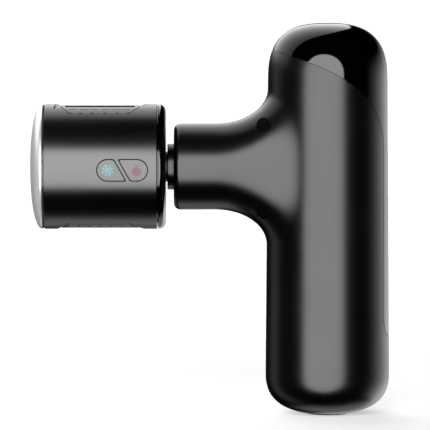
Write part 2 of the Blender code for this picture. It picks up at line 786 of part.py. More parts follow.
def build_boards(root):
    back = BOARD_X + BOARD_THICKNESS
    plate = block((BOARD_X, -BOARD_HALF_WIDTH, BOARD_Z[0]), (back, BOARD_HALF_WIDTH, BOARD_Z[1]))
    board = piece("main_board", plate, "board_green", root)
    chips = (
        ("controller", (-4.0, 40.0), (4.0, 48.0), 1.2),
        ("driver", (-10.0, 50.0), (-4.0, 56.0), 1.0),
        ("charger", (-3.0, 27.0), (3.0, 33.0), 1.0),
        ("choke", (5.0, 26.0), (11.0, 32.0), 2.6),
    )
    for label, low, high, height in chips:
        chip = block((back - 0.4, low[0], low[1]), (back + height, high[0], high[1]))
        join(board, cutter(f"chip_{label}", chip))
    switch = block(
        (back + GAP, -SWITCH_HALF, BUTTON_Z - SWITCH_HALF),
        (back + GAP + SWITCH_HEIGHT, SWITCH_HALF, BUTTON_Z + SWITCH_HALF),
    )
    piece("power_switch", switch, "steel", root)

    shell = prism(upright(PORT_SIZE, PORT_Z, 0.0, 5), 0, back + GAP, PORT_MOUTH_X)
    port = piece("usb_port", shell, "steel", root)
    inside = prism(upright(PORT_SIZE, PORT_Z, -PORT_WALL, 5), 0, BOARD_X + 4.0, PORT_MOUTH_X + 2.0)
    hollow = cutter("port_hollow", inside)
    half_y, half_z = PORT_TONGUE[0] / 2.0, PORT_TONGUE[1] / 2.0
    tongue = block((BOARD_X + 3.0, -half_y, PORT_Z - half_z), (PORT_MOUTH_X - 0.8, half_y, PORT_Z + half_z))
    cut(hollow, cutter("port_tongue", tongue))
    cut(port, hollow)


def build_lens(root):
    skin = cutter("lens_skin", body_solid(0.1, NECK_END_X, NECK_EDGE_RADIUS))
    body = prism(upright(LENS_SIZE, LENS_Z, 0.0, 4), 0, GRIP_RADIUS_HIGH - 2.8, BACK_WALL_X[1])
    keep(piece("indicator_lens", body, "smoked_lens", root), skin)


def build_power_button(root):
    axis = (0.0, 0.0, BUTTON_Z)
    frame = frame_at("power_button_frame", (21.0, 0.0, BUTTON_Z), root)
    body = rod(BUTTON_RADIUS, PANEL_BACK_X, BACK_WALL_X[1])
    cap = piece("power_button", body, "gloss_black", frame, axis, ALONG_X)
    keep(cap, cutter("button_skin", body_solid(0.0, NECK_END_X, NECK_EDGE_RADIUS)))
    switch_top = BOARD_X + BOARD_THICKNESS + GAP + SWITCH_HEIGHT
    stem = rod(1.6, switch_top + 0.5, PANEL_BACK_X + 0.5, 16)
    join(cap, cutter("button_stem", stem, axis, ALONG_X))


# ------------------------------------------------------ crank and plunger


def build_crank(root):
    frame = frame_at("crank_frame", (0.0, 0.0, NECK_Z), root)
    inner, outer = BELL_RADII
    rim, ceiling, top = BELL_Z
    hub_radius, hub_bottom = BELL_HUB
    bore = SHAFT_RADIUS + GAP
    bell = [
        (inner, rim), (outer, rim), (outer, top), (bore, top),
        (bore, hub_bottom), (hub_radius, hub_bottom), (hub_radius, ceiling), (inner, ceiling),
    ]
    piece("rotor_bell", turned(bell), "steel", frame)
    piece("magnet_ring", tube(*MAGNET_RADII, *STATOR_Z), "matte_black", frame)
    piece("motor_shaft", rod(SHAFT_RADIUS, *SHAFT_Z, 16), "steel", frame)

    weight = arc((0.0, 0.0), CRANK_WEIGHT_RADIUS, 110.0, 250.0, 14)
    hub = arc((0.0, 0.0), CRANK_HUB_RADIUS, 250.0, 470.0, 14)
    low, high = CRANK_DISC_Z
    disc = piece("crank_disc", prism(weight + hub, 2, low, high), "steel", frame)
    pin_axis = (THROW, 0.0, 0.0)
    join(disc, cutter("crank_pin", rod(PIN_RADIUS, PIN_BOTTOM_Z, low + 0.5, 20), pin_axis))
    cut(disc, cutter("disc_bore", rod(bore, low + 1.0, high + 2.0, 16)))

    pin_bore = PIN_RADIUS + GAP
    bearing = tube(pin_bore, BEARING_RADIUS, NECK_Z - BEARING_HALF_HEIGHT, NECK_Z + BEARING_HALF_HEIGHT, 24)
    piece("crank_bearing", bearing, "steel", frame, pin_axis)
    piece("bearing_retainer", tube(pin_bore, RETAINER_RADIUS, *RETAINER_Z, 16), "steel", frame, pin_axis)


def build_plunger(root):
    frame = frame_at("plunger_frame", (SLEEVE_FRONT_X, 0.0, NECK_Z), root)
    axis = (0.0, 0.0, NECK_Z)
    half_slot = (BEARING_RADIUS + YOKE_SLACK, BEARING_RADIUS + THROW + 0.5)
    outer = (half_slot[0] + YOKE_WALL, half_slot[1] + YOKE_SIDE_WALL)
    low, high = NECK_Z - YOKE_HALF_HEIGHT, NECK_Z + YOKE_HALF_HEIGHT
    yoke = piece("yoke", prism(round_box(THROW, outer, YOKE_CORNER), 2, low, high), "aluminium", frame)
    cut(yoke, cutter("yoke_slot", prism(round_box(THROW, half_slot, 1.0), 2, low - 1.0, high + 1.0)))
    link = block(
        (SLEEVE_REAR_X - 1.5, -LINK_HALF_WIDTH, low + 0.2),
        (THROW - outer[0] + 1.0, LINK_HALF_WIDTH, high - 0.2),
    )
    join(yoke, cutter("yoke_link", link))
    stub = rod(STUB_RADIUS, SLEEVE_BORE_X + GAP, SLEEVE_REAR_X - 0.5, 20)
    join(yoke, cutter("yoke_stub", stub, axis, ALONG_X))
    pin_radius, pin_half = YOKE_PIN
    pin_place = (0.5 * (SLEEVE_BORE_X + SLEEVE_REAR_X), 0.0, NECK_Z)
    pin_hole = cutter("pin_hole", rod(PIN_HOLE_RADIUS, -12.0, 12.0, 16), pin_place, ALONG_Y)
    cut(yoke, pin_hole)

    rear_bore = STUB_RADIUS + GAP
    profile = [
        (SOCKET_RADIUS, SLEEVE_FRONT_X), (SLEEVE_RADIUS - SLEEVE_EDGE, SLEEVE_FRONT_X),
        (SLEEVE_RADIUS, SLEEVE_FRONT_X + SLEEVE_EDGE), (SLEEVE_RADIUS, SLEEVE_REAR_X),
        (rear_bore, SLEEVE_REAR_X), (rear_bore, SLEEVE_BORE_X), (WIRE_BORE_RADIUS, SLEEVE_BORE_X),
        (WIRE_BORE_RADIUS, SOCKET_FLOOR_X), (SOCKET_RADIUS, SOCKET_FLOOR_X),
    ]
    sleeve = piece("plunger_sleeve", turned(profile), "satin_black", frame, axis, ALONG_X)
    cut(sleeve, pin_hole)
    piece("yoke_pin", rod(pin_radius, -pin_half, pin_half, 12), "steel", frame, pin_place, ALONG_Y)
    disc_radius, disc_height = CONTACT_DISC
    tip_radius, tip_length = CONTACT_PIN
    contact = [
        (0.0, SOCKET_FLOOR_X - disc_height), (disc_radius, SOCKET_FLOOR_X - disc_height),
        (disc_radius, SOCKET_FLOOR_X - GAP), (tip_radius, SOCKET_FLOOR_X - GAP),
        (tip_radius, SOCKET_FLOOR_X + tip_length), (0.0, SOCKET_FLOOR_X + tip_length),
    ]
    piece("socket_contact", turned(contact, 16, ring=False), "brass", frame, axis, ALONG_X)
    return frame


def round_box(centre_x, half, corner, steps=3):
    """Rounded rectangle in X and Y."""
    points = []
    for sign_x, sign_y, start in ((1, 1, 0.0), (-1, 1, 90.0), (-1, -1, 180.0), (1, -1, 270.0)):
        middle = (centre_x + sign_x * (half[0] - corner), sign_y * (half[1] - corner))
        points += arc(middle, corner, start, start + 90.0, steps)
    return points


# -------------------------------------------------------------------- head


def build_face(frame):
    axis = (0.0, 0.0, NECK_Z)
    rim = dome(HEAD_RADIUS, FACE_REAR_X - HEAD_FRONT_X, FACE_POWER, 6)
    floor_radius, floor_x = FACE_FLOOR
    profile = [(0.0, HEAD_FRONT_X)]
    profile += [(radius, FACE_REAR_X - height) for radius, height in reversed(rim)]
    profile += [(FACE_RIM_INNER, FACE_REAR_X), (FACE_RIM_INNER, FACE_RIM_X)]
    profile += [(floor_radius, FACE_RIM_X), (floor_radius, floor_x), (0.0, floor_x)]
    piece("face_plate", turned(profile, 32, ring=False), "aluminium", frame, axis, ALONG_X)
    piece("face_gasket", tube(*GASKET, 32), "rubber", frame, axis, ALONG_X)


def vent_outline(shrink):
    """Plan view of a vent, in X and Y: a long hexagon."""
    ends = (VENT_ENDS_X[0] + 2.0 * shrink, VENT_ENDS_X[1] - 2.0 * shrink)
    corners = (VENT_CORNERS_X[0] + shrink, VENT_CORNERS_X[1] - shrink)
    width = VENT_HALF_WIDTH - shrink
    step = VENT_END_HALF_WIDTH
    return [
        (ends[0], -step), (corners[0], -width), (corners[1], -width), (ends[1], -step),
        (ends[1], step), (corners[1], width), (corners[0], width), (ends[0], step),
    ]


def build_housing(frame):
    axis = (0.0, 0.0, NECK_Z)
    inner = HEAD_RADIUS - HOUSING_WALL
    low, high = HEAD_SEAM_X + 0.5, CAP_SEAM_X - GAP / 2.0
    housing = piece("head_housing", tube(inner, HEAD_RADIUS, low, high, 48), "satin_black", frame, axis, ALONG_X)
    skin_radius = HEAD_RADIUS - VENT_DEPTH
    floor = cutter("vent_floor", rod(skin_radius, HEAD_FRONT_X, HEAD_REAR_X, 48), axis, ALONG_X)
    front, rear = SCOOP_ENDS_X
    front_corner, rear_corner = SCOOP_CORNERS_X
    width = SCOOP_HALF_WIDTH
    ramp = [
        (front, 0.0), (front_corner, -width), (rear_corner, -width),
        (rear, 0.0), (rear_corner, width), (front_corner, width),
    ]
    for label, side in (("top", 1), ("bottom", -1)):
        reach = sorted((NECK_Z + side * (HEAD_RADIUS - 6.0), NECK_Z + side * FAR))
        scoop = cutter(f"vent_scoop_{label}", prism(ramp, 2, *reach))
        cut(scoop, floor)
        cut(housing, scoop)
        cut(housing, cutter(f"vent_opening_{label}", prism(vent_outline(0.0), 2, *reach)))
        build_grille(frame, label, reach, skin_radius)
    for label in ("cold", "heat"):
        hole = prism(key_outline(label, KEY_CLEARANCE), 1, -FAR, -KEY_HOLE_FLOOR_Y)
        cut(housing, cutter(f"{label}_key_hole", hole))


def build_grille(frame, label, reach, skin_radius):
    shell = tube(skin_radius - GRILLE_THICKNESS, skin_radius, -100.0, -70.0, 48)
    plate = piece(f"vent_grille_{label}", shell, "matte_black", frame, (0.0, 0.0, NECK_Z), ALONG_X)
    outline = prism(vent_outline(GRILLE_CLEARANCE), 2, *reach)
    keep(plate, cutter(f"grille_outline_{label}", outline))
    for row, (y, half_length) in enumerate(GRILLE_SLOTS):
        slot = block(
            (GRILLE_MIDDLE_X - half_length, y - GRILLE_SLOT_HALF_WIDTH, reach[0]),
            (GRILLE_MIDDLE_X + half_length, y + GRILLE_SLOT_HALF_WIDTH, reach[1]),
        )
        cut(plate, cutter(f"grille_slot_{label}_{row}", slot))


def key_outline(label, grow):
    """A key's outline in X and Z: half of a capsule whose inner edge leans, with cut corners."""
    radius = KEY_RADIUS + grow
    number, side = (0, 1.0) if label == "cold" else (1, -1.0)
    centre = KEY_CENTRES_X[number]
    split = KEY_SPLIT_X[number] + side * grow * math.hypot(1.0, KEY_SPLIT_LEAN)
    outline = arc((centre, 0.0), radius, 90.0, 90.0 + side * 180.0, 10)
    for way in (-1.0, 1.0):
        corner = Vector((split - way * KEY_SPLIT_LEAN * radius, way * radius))
        along_slant = Vector((KEY_SPLIT_LEAN * way, -way)).normalized() * KEY_CORNER
        flat = corner - Vector((side * KEY_CORNER, 0.0))
        slant = corner + along_slant
        outline += [tuple(flat), tuple(slant)] if way < 0.0 else [tuple(slant), tuple(flat)]
    return [(x, NECK_Z + z) for x, z in outline]


def build_keys(frame):
    axis = (0.0, 0.0, NECK_Z)
    low_y, high_y = SWITCH_BOARD_Y
    half = SWITCH_BOARD_HALF_HEIGHT
    plate = block((SWITCH_BOARD_X[0], low_y, NECK_Z - half), (SWITCH_BOARD_X[1], high_y, NECK_Z + half))
    board = piece("switch_board", plate, "board_green", frame)
    for label, centre in zip(("cold", "heat"), KEY_CENTRES_X):
        holder = frame_at(f"{label}_button_frame", (centre, -HEAD_RADIUS, NECK_Z), frame)
        body = prism(key_outline(label, -KEY_CLEARANCE), 1, -FAR, -KEY_FLOOR_Y)
        key = piece(f"{label}_button", body, "satin_black", holder)
        keep(key, cutter(f"{label}_key_skin", rod(HEAD_RADIUS, HEAD_FRONT_X, HEAD_REAR_X, 48), axis, ALONG_X))
        switch = block(
            (centre - KEY_SWITCH_HALF, KEY_SWITCH_TOP_Y, NECK_Z - KEY_SWITCH_HALF),
            (centre + KEY_SWITCH_HALF, low_y + 0.2, NECK_Z + KEY_SWITCH_HALF),
        )
        join(board, cutter(f"{label}_switch", switch))


def build_rear(frame):
    axis = (0.0, 0.0, NECK_Z)
    spigot_inner, spigot_outer, spigot_x = CAP_SPIGOT
    wall_x = HEAD_REAR_X - CAP_WALL
    corner_middle = (HEAD_REAR_X - CAP_EDGE_RADIUS, HEAD_RADIUS - CAP_EDGE_RADIUS)
    corner = arc(corner_middle, CAP_EDGE_RADIUS, 90.0, 0.0, 3)
    profile = [(CAP_BORE_RADIUS, wall_x), (spigot_inner, wall_x), (spigot_inner, spigot_x)]
    profile += [(spigot_outer, spigot_x), (spigot_outer, CAP_SEAM_X + GAP / 2.0)]
    profile += [(radius, x) for x, radius in corner]
    profile += [(CAP_BORE_RADIUS, HEAD_REAR_X)]
    cap = piece("rear_cap", turned(profile, 32), "gloss_black", frame, axis, ALONG_X)

    bore = WIRE_BORE_RADIUS
    groove_radius, groove_front, groove_rear = PLUG_GROOVE
    plug_profile = [
        (bore, FLANGE_X[0]), (FLANGE_RADIUS, FLANGE_X[0]), (FLANGE_RADIUS, FLANGE_X[1]),
        (PLUG_BODY_RADIUS, FLANGE_X[1]), (PLUG_BODY_RADIUS, groove_front), (groove_radius, groove_front),
        (groove_radius, groove_rear), (PLUG_BODY_RADIUS, groove_rear), (PLUG_BODY_RADIUS, PLUG_TIP_X - 1.4),
        (PLUG_BODY_RADIUS - 1.0, PLUG_TIP_X), (bore, PLUG_TIP_X),
    ]
    plug = piece("head_plug", turned(plug_profile, 16), "matte_black", frame, axis, ALONG_X)
    piece("plug_o_ring", tube(*O_RING, 20), "rubber", frame, axis, ALONG_X)
    front, tip = PLUG_CONTACT_X
    contact = [
        (0.0, front), (PLUG_CONTACT_RADIUS, front), (PLUG_CONTACT_RADIUS, tip - 0.8),
        (PLUG_CONTACT_RADIUS - 0.7, tip), (0.0, tip),
    ]
    piece("plug_contact", turned(contact, 12, ring=False), "brass", frame, axis, ALONG_X)

    head_radius, head_front, head_rear = PLUG_SCREW_HEAD
    shank_radius, shank_end = PLUG_SCREW_SHANK
    screw = [
        (0.0, head_front), (head_radius, head_front), (head_radius, head_rear),
        (shank_radius, head_rear), (shank_radius, shank_end), (0.0, shank_end),
    ]
    for number in range(3):
        turn = math.radians(90.0 + 120.0 * number)
        place = (0.0, PLUG_SCREW_CIRCLE * math.cos(turn), NECK_Z + PLUG_SCREW_CIRCLE * math.sin(turn))
        way = rod(PLUG_SCREW_HOLE_RADIUS, head_front, shank_end + 0.4, 12)
        cut(cap, cutter(f"cap_screw_way_{number}", way, place, ALONG_X))
        way = rod(PLUG_SCREW_HOLE_RADIUS, head_front, shank_end + 0.4, 12)
        cut(plug, cutter(f"plug_screw_way_{number}", way, place, ALONG_X))
        piece(f"plug_screw_{number + 1}", turned(screw, 10, ring=False), "steel", frame, place, ALONG_X)


def build_head_inside(frame):
    axis = (0.0, 0.0, NECK_Z)
    half = PELTIER_HALF
    module = block((PELTIER_X[0], -half, NECK_Z - half), (PELTIER_X[1], half, NECK_Z + half))
    piece("peltier_module", module, "ceramic", frame)

    front, rear = SINK_BASE_X
    half_fin = FIN_THICKNESS / 2.0
    comb = [(front, -SINK_RADIUS), (front, SINK_RADIUS), (rear, SINK_RADIUS)]
    for number in reversed(range(FIN_COUNT)):
        y = FIN_PITCH * (number - (FIN_COUNT - 1) / 2.0)
        comb += [(rear, y + half_fin), (FIN_TIP_X, y + half_fin), (FIN_TIP_X, y - half_fin), (rear, y - half_fin)]
    comb += [(rear, -SINK_RADIUS)]
    sink = piece("heat_sink", prism(comb, 2, NECK_Z - 20.0, NECK_Z + 20.0), "aluminium", frame)
    keep(sink, cutter("sink_round", rod(SINK_RADIUS, HEAD_FRONT_X, FIN_TIP_X + 10.0, 32), axis, ALONG_X))

    back_front, back_rear = FAN_BACK_X
    ring = piece("fan_frame", tube(*FAN_FRAME), "matte_black", frame, axis, ALONG_X)
    join(ring, cutter("fan_hub", rod(FAN_HUB_RADIUS, back_front, back_rear, 20), axis, ALONG_X))
    for number in range(FAN_ARMS):
        turn = 90.0 + 360.0 * number / FAN_ARMS
        arm = block((back_front, 3.0, -1.0), (back_rear - 0.2, FAN_FRAME[1] - 0.8, 1.0))
        join(ring, cutter(f"fan_arm_{number}", arm, axis, (turn, 0.0, 0.0)))
    join(ring, cutter("fan_spindle", rod(*FAN_SPINDLE, 12), axis, ALONG_X))

    board = piece("head_board", tube(*HEAD_BOARD), "board_green", frame, axis, ALONG_X)
    rear_face = HEAD_BOARD[3]
    chip = block((rear_face - 0.4, -4.0, NECK_Z + 6.0), (rear_face + 1.2, 4.0, NECK_Z + 13.0))
    join(board, cutter("head_chip", chip))


def build_fan_rotor(frame):
    holder = frame_at("fan_axis", (FAN_X, 0.0, NECK_Z), frame)
    front, inside, rear = FAN_HUB_X
    bore = FAN_SPINDLE[0] + GAP
    hub = [
        (0.0, front), (FAN_HUB_RADIUS, front), (FAN_HUB_RADIUS, rear), (bore, rear), (bore, inside), (0.0, inside),
    ]
    rotor = piece("fan_rotor", turned(hub, 21, ring=False), "matte_black", holder, (0.0, 0.0, NECK_Z), ALONG_X)
    half_thickness, half_depth = BLADE_HALF
    root, tip = BLADE_REACH
    pitch = Matrix.Rotation(math.radians(BLADE_PITCH), 4, "Y")
    for number in range(FAN_BLADES):
        blade = block((-half_thickness, root, -half_depth), (half_thickness, tip, half_depth))
        bmesh.ops.transform(blade, matrix=pitch, verts=blade.verts)
        turn = 360.0 * number / FAN_BLADES
        join(rotor, cutter(f"fan_blade_{number}", blade, (FAN_X - 0.4, 0.0, NECK_Z), (turn, 0.0, 0.0)))


def main():
    clear_scene()
    root = frame_at("gun_frame", (0.0, 0.0, 0.0))
    build_shells(root)
    build_panel(root)
    build_screws(root)
    build_base(root)
    build_neck_bearings(root)
    build_motor_fixed(root)
    build_battery(root)
    build_boards(root)
    build_lens(root)
    build_power_button(root)
    build_crank(root)
    plunger = build_plunger(root)
    head = frame_at("head_frame", (HEAD_REAR_X, 0.0, NECK_Z), plunger)
    build_face(head)
    build_housing(head)
    build_keys(head)
    build_rear(head)
    build_head_inside(head)
    build_fan_rotor(head)


main()
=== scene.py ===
"""Looks of the percussion massage gun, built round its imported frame.

Lengths are in millimetres and angles in degrees unless a name says otherwise.
+Z runs up the grip, -X points along the neck to the head, and -Y is the gun's left side.
"""

import json
import math

import bmesh
import bpy
from mathutils import Matrix, Vector


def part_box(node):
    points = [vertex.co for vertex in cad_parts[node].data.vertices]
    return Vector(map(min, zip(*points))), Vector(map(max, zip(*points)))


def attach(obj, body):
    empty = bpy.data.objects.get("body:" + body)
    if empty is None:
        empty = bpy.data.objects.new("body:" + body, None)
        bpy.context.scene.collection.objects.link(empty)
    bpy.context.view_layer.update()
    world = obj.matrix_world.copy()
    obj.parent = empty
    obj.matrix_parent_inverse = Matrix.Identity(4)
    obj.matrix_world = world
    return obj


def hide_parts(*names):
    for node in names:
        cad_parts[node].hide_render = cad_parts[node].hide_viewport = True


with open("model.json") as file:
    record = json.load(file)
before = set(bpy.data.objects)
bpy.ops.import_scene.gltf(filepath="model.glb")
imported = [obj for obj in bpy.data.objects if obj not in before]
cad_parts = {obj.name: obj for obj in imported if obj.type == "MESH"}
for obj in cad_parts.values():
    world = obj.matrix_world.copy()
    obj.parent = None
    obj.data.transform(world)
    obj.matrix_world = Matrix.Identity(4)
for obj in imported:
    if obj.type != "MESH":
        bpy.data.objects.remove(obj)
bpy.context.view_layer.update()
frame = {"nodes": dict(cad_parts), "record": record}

MM = 0.001


def low_mm(node):
    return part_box(node)[0] / MM


def high_mm(node):
    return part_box(node)[1] / MM


# Places taken from the frame.
GRIP_TOP = high_mm("gloss_panel").z
NECK_Z = 0.5 * (low_mm("face_plate").z + high_mm("face_plate").z)
NECK_END = low_mm("left_shell").x
HEAD_FRONT = low_mm("face_plate").x
HEAD_RADIUS = 0.5 * (high_mm("face_plate").z - low_mm("face_plate").z)
HEAD_REAR = high_mm("rear_cap").x
HOUSING_FRONT = low_mm("head_housing").x
HOUSING_REAR = high_mm("head_housing").x
FACE_REAR = low_mm("face_gasket").x - 0.2
SLEEVE_FRONT = low_mm("plunger_sleeve").x
SLEEVE_REAR = high_mm("plunger_sleeve").x
SLEEVE_RADIUS = high_mm("plunger_sleeve").y
PAD_TOP = high_mm("base_pad").z
PAD_RADIUS = high_mm("base_pad").x
BUTTON_Z = 0.5 * (low_mm("power_button").z + high_mm("power_button").z)
BUTTON_RADIUS = high_mm("power_button").y
PLUG_LEVELS = [0.5 * (low_mm(name).z + high_mm(name).z) for name in ("screw_plug_upper", "screw_plug_lower")]
PLUG_X = 0.5 * (low_mm("screw_plug_upper").x + high_mm("screw_plug_upper").x)
PLUG_RADIUS = high_mm("screw_plug_upper").x - PLUG_X

# Grip and neck skin.
GRIP_RADIUS_LOW = 23.2
GRIP_RADIUS_HIGH = 22.4
LOW_DOME = (15.75, 2.6)
HIGH_DOME = (21.75, 2.7)
NECK_RADIUS = 16.1
NECK_EDGE = 2.4
FLARE_START_X = -42.0
FLARE_HALF_HEIGHT = 29.3
FLARE_HALF_ANGLE = 63.5
FLARE_SQUARENESS = 0.62
REACH_ON_NECK = (10.8, 15.5)
REACH_ON_GRIP = (7.3, 8.5)
WINDOW_HALF_HEIGHT = 31.75
WINDOW_HALF_ANGLE = 75.0
WAIST_RINGS = 16
SHELL_THICKNESS = 1.15
LINER_INSET = 1.3
LINER_THICKNESS = 0.8
SEAM = 0.3
PANEL_SEAM = 0.16
PANEL_BACK_X = 20.7
PANEL_FRONT = (-27.0, 138.6)
MOUTH_RADIUS = 9.3
PORT_SEAM = 0.35
FAR_X = 40.0
FAR_Z = 160.0
BACK_X = (15.0, 27.0)

# Small parts of the gun.
COVER_SINK = 0.3
COVER_FLOOR_Y = -8.4
COVER_HOLE_Y = (-18.0, -6.0)
COVER_CLEARANCE = 0.2
SEAL_CLEARANCE = 0.25
LENS_SINK = 0.15
LENS_BACK_X = 19.6
LIGHTS = 4
LIGHT_RADIUS = 0.55
LIGHT_X = (18.6, 19.4, 19.5)
BUTTON_RING = (2.45, 2.9, 0.45)
BUTTON_STEM_RADIUS = 1.6
BUTTON_COLLAR_RADIUS = 3.4
PORT_WALL = 0.32
PORT_FLOOR = 1.2
TONGUE_HALF_SIZE = (0.35, 3.3)
CONTACTS = 6
CONTACT_PITCH = 0.9
CONTACT_HALF_SIZE = (0.03, 0.18)

# Sleeve and the head's plug.
SOCKET_RADIUS = 6.2
SOCKET_FLOOR_X = -36.0
STUB_BORE_RADIUS = 6.35
STUB_BORE_X = -28.0
WIRE_BORE_RADIUS = 2.0
FLANGE_RADIUS = 9.4
FLANGE_THICKNESS = 2.4
PLUG_BODY_RADIUS = 5.6
PLUG_TIP_RADIUS = 4.6
PLUG_TAPER_X = -40.0
PLUG_RELIEF = (0.25, -57.0, -56.6, -55.8, -55.4)
PLUG_GROOVE = (4.7, -46.2, -43.8)
O_RING = (-45.0, 5.42, 0.52)

# Head.
PLATE_POWER = 2.2
PLATE_RIM = (21.0, -104.2)
PLATE_FLOOR = (18.8, -107.2)
GASKET_RADIUS = 21.3
HOUSING_WALL = 2.05
HOUSING_EDGE = 0.25
HEAD_SPAN = (-112.0, -58.0)
CAP_EDGE = 2.6
CAP_WALL = 2.2
CAP_SPIGOT = (19.0, 21.0)
CAP_BORE_RADIUS = 5.9
CAP_RING_DEPTH = 0.25

# Vents in the head.
VENT_DEPTH = 0.4
VENT_REACH = (14.0, 30.0)
SCOOP_MARGIN = 0.7
GRILLE_HALF_WIDTH = 10.6
GRILLE_END_HALF_WIDTH = 5.0
GRILLE_ENDS_X = (-99.8, -70.4)
GRILLE_CORNERS_X = (-96.8, -74.1)
GRILLE_THICKNESS = 1.3
GRILLE_CLEARANCE = 0.22
GRILLE_TUBE_X = (-100.5, -69.5)
LOUVRE_X = (-98.2, -72.1)
LOUVRE_DEPTH = 0.5
THIN_ROW = (7.2, 0.4, 6)
WIDE_ROW = (2.7, 1.7, 5)
BAR_HALF_WIDTH = 0.45
NOTCHES_X = (-96.2, -92.2, -87.8, -83.2, -78.6, -74.7)
NOTCH_Y = 10.3
NOTCH_RADIUS = 0.62
SLIT_DEPTH = 0.9
SHADE_DEPTH = 0.5

# Keys in the head's left side.
KEY_CENTRES = {"cold": -82.0, "heat": -71.2}
KEY_SPLITS = {"cold": -77.45, "heat": -75.9}
KEY_RADIUS = 4.05
KEY_LEAN = 0.56
KEY_CORNER = 1.0
KEY_GAP = 0.4
KEY_FRONT_Y = -26.0
KEY_BACK_Y = -20.4
KEY_HOLE_Y = (-30.0, -18.0)
MARK_RISE = 0.04
MARK_DEPTH = 0.12
SNOW_ARM = (0.2, 2.2, 0.42)
SNOW_TWIG = (1.35, 0.55, 0.3)
SNOW_TWIG_ANGLE = 48.0

ALONG_X = Matrix.Rotation(math.radians(90.0), 4, "Y")
ALONG_Y = Matrix.Rotation(math.radians(-90.0), 4, "X")
SHARP_ANGLE = 35.0
CUT = 1


# ---- mesh tools ----


def to_object(name, bm):
    mesh = bpy.data.meshes.new(name)
    bm.to_mesh(mesh)
    bm.free()
    item = bpy.data.objects.new(name, mesh)
    bpy.context.scene.collection.objects.link(item)
    return item


def baked(item):
    """Applies an object's modifiers."""
    bpy.context.view_layer.update()
    graph = bpy.context.evaluated_depsgraph_get()
    mesh = bpy.data.meshes.new_from_object(item.evaluated_get(graph))
    item.modifiers.clear()
    item.data = mesh
    return item


def boolean(item, operation, *tools):
    """Applies a Boolean with each mesh in turn. Faces that a tool leaves carry the material index CUT."""
    two_slots(item)
    others = []
    for number, tool in enumerate(tools):
        for face in tool.faces:
            face.material_index = CUT
        other = to_object(f"tool_{number}", tool)
        two_slots(other)
        other.hide_render = True
        change = item.modifiers.new("cut", "BOOLEAN")
        change.operation = operation
        change.solver = "EXACT"
        change.object = other
        others.append(other)
    baked(item)
    for other in others:
        bpy.data.objects.remove(other, do_unlink=True)
    return item


def two_slots(item):
    while len(item.data.materials) < 2:
        item.data.materials.append(None)


def drop_cut_faces(item):
    bm = bmesh.new()
    bm.from_mesh(item.data)
    cut = [face for face in bm.faces if face.material_index == CUT]
    bmesh.ops.delete(bm, geom=cut, context="FACES")
    bmesh.ops.remove_doubles(bm, verts=bm.verts, dist=2e-6)
    bm.to_mesh(item.data)
    bm.free()
    return item


def bevel(item, width, segments=2, angle=40.0):
    change = item.modifiers.new("edges", "BEVEL")
    change.width = width * MM
    change.segments = segments
    change.limit_method = "ANGLE"
    change.angle_limit = math.radians(angle)
    change.use_clamp_overlap = True
    return item


def finished(item, material, body, replaces=(), weighted=True):
    """Applies modifiers, shades smooth with sharp edges, and gives the piece its material and body."""
    if item.modifiers:
        baked(item)
    mesh = item.data
    mesh.materials.clear()
    mesh.materials.append(material)
    mesh.polygons.foreach_set("material_index", [0] * len(mesh.polygons))
    mesh.shade_smooth()
    mesh.set_sharp_from_angle(angle=math.radians(SHARP_ANGLE))
    if weighted:
        change = item.modifiers.new("normals", "WEIGHTED_NORMAL")
        change.keep_sharp = True
        baked(item)
    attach(item, body)
    if replaces:
        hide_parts(*replaces)
    return item


def turned(profile, segments=128, closed=True):
    """Solid of revolution about Z from (radius, height) points."""
    bm = bmesh.new()
    verts = [bm.verts.new((radius * MM, 0.0, height * MM)) for radius, height in profile]
    edges = [bm.edges.new(pair) for pair in zip(verts, verts[1:])]
    if closed:
        edges.append(bm.edges.new((verts[-1], verts[0])))
    bmesh.ops.spin(
        bm, geom=verts + edges, cent=(0.0, 0.0, 0.0), axis=(0.0, 0.0, 1.0),
        angle=2.0 * math.pi, steps=segments, use_duplicate=False,
    )
    bmesh.ops.remove_doubles(bm, verts=bm.verts, dist=1e-7)
    bmesh.ops.recalc_face_normals(bm, faces=bm.faces)
    return bm


def moved(bm, place, turn=None):
    """Turns a mesh and moves it to a place."""
    matrix = Matrix.Translation(Vector(place) * MM)
    if turn is not None:
        matrix = matrix @ turn
    bmesh.ops.transform(bm, matrix=matrix, verts=bm.verts)
    return bm


def along_x(bm, z):
    """Lays a solid of revolution down at a level: its own height becomes X."""
    return moved(bm, (0.0, 0.0, z), ALONG_X)


def on_neck(bm):
    return along_x(bm, NECK_Z)


def rod(radius, low, high, segments=64):
    return turned([(0.0, low), (radius, low), (radius, high), (0.0, high)], segments, closed=False)


def block(low, high):
    bm = bmesh.new()
    bmesh.ops.create_cube(bm, size=1.0)
    for vert in bm.verts:
        vert.co = [(low[axis] if vert.co[axis] < 0.0 else high[axis]) * MM for axis in range(3)]
    return bm


def prism(outline, axis, low, high):
    """Extrudes an outline along an axis. Its points are the other two axes in X, Y, Z order."""
    others = [index for index in range(3) if index != axis]
    bm = bmesh.new()
    verts = []
    for point in outline:
        place = [0.0, 0.0, 0.0]
        place[axis] = low * MM
        place[others[0]] = point[0] * MM
        place[others[1]] = point[1] * MM
        verts.append(bm.verts.new(place))
    base = bm.faces.new(verts)
    grown = bmesh.ops.extrude_face_region(bm, geom=[base])
    step = [0.0, 0.0, 0.0]
    step[axis] = (high - low) * MM
    top = [item for item in grown["geom"] if isinstance(item, bmesh.types.BMVert)]
    bmesh.ops.translate(bm, verts=top, vec=step)
    bmesh.ops.recalc_face_normals(bm, faces=bm.faces)
    return bm


def spaced(start, end, steps):
    return [start + (end - start) * index / steps for index in range(steps + 1)]


def arc(centre, radius, start, end, steps):
    angles = [math.radians(angle) for angle in spaced(start, end, steps)]
    return [(centre[0] + radius * math.cos(turn), centre[1] + radius * math.sin(turn)) for turn in angles]


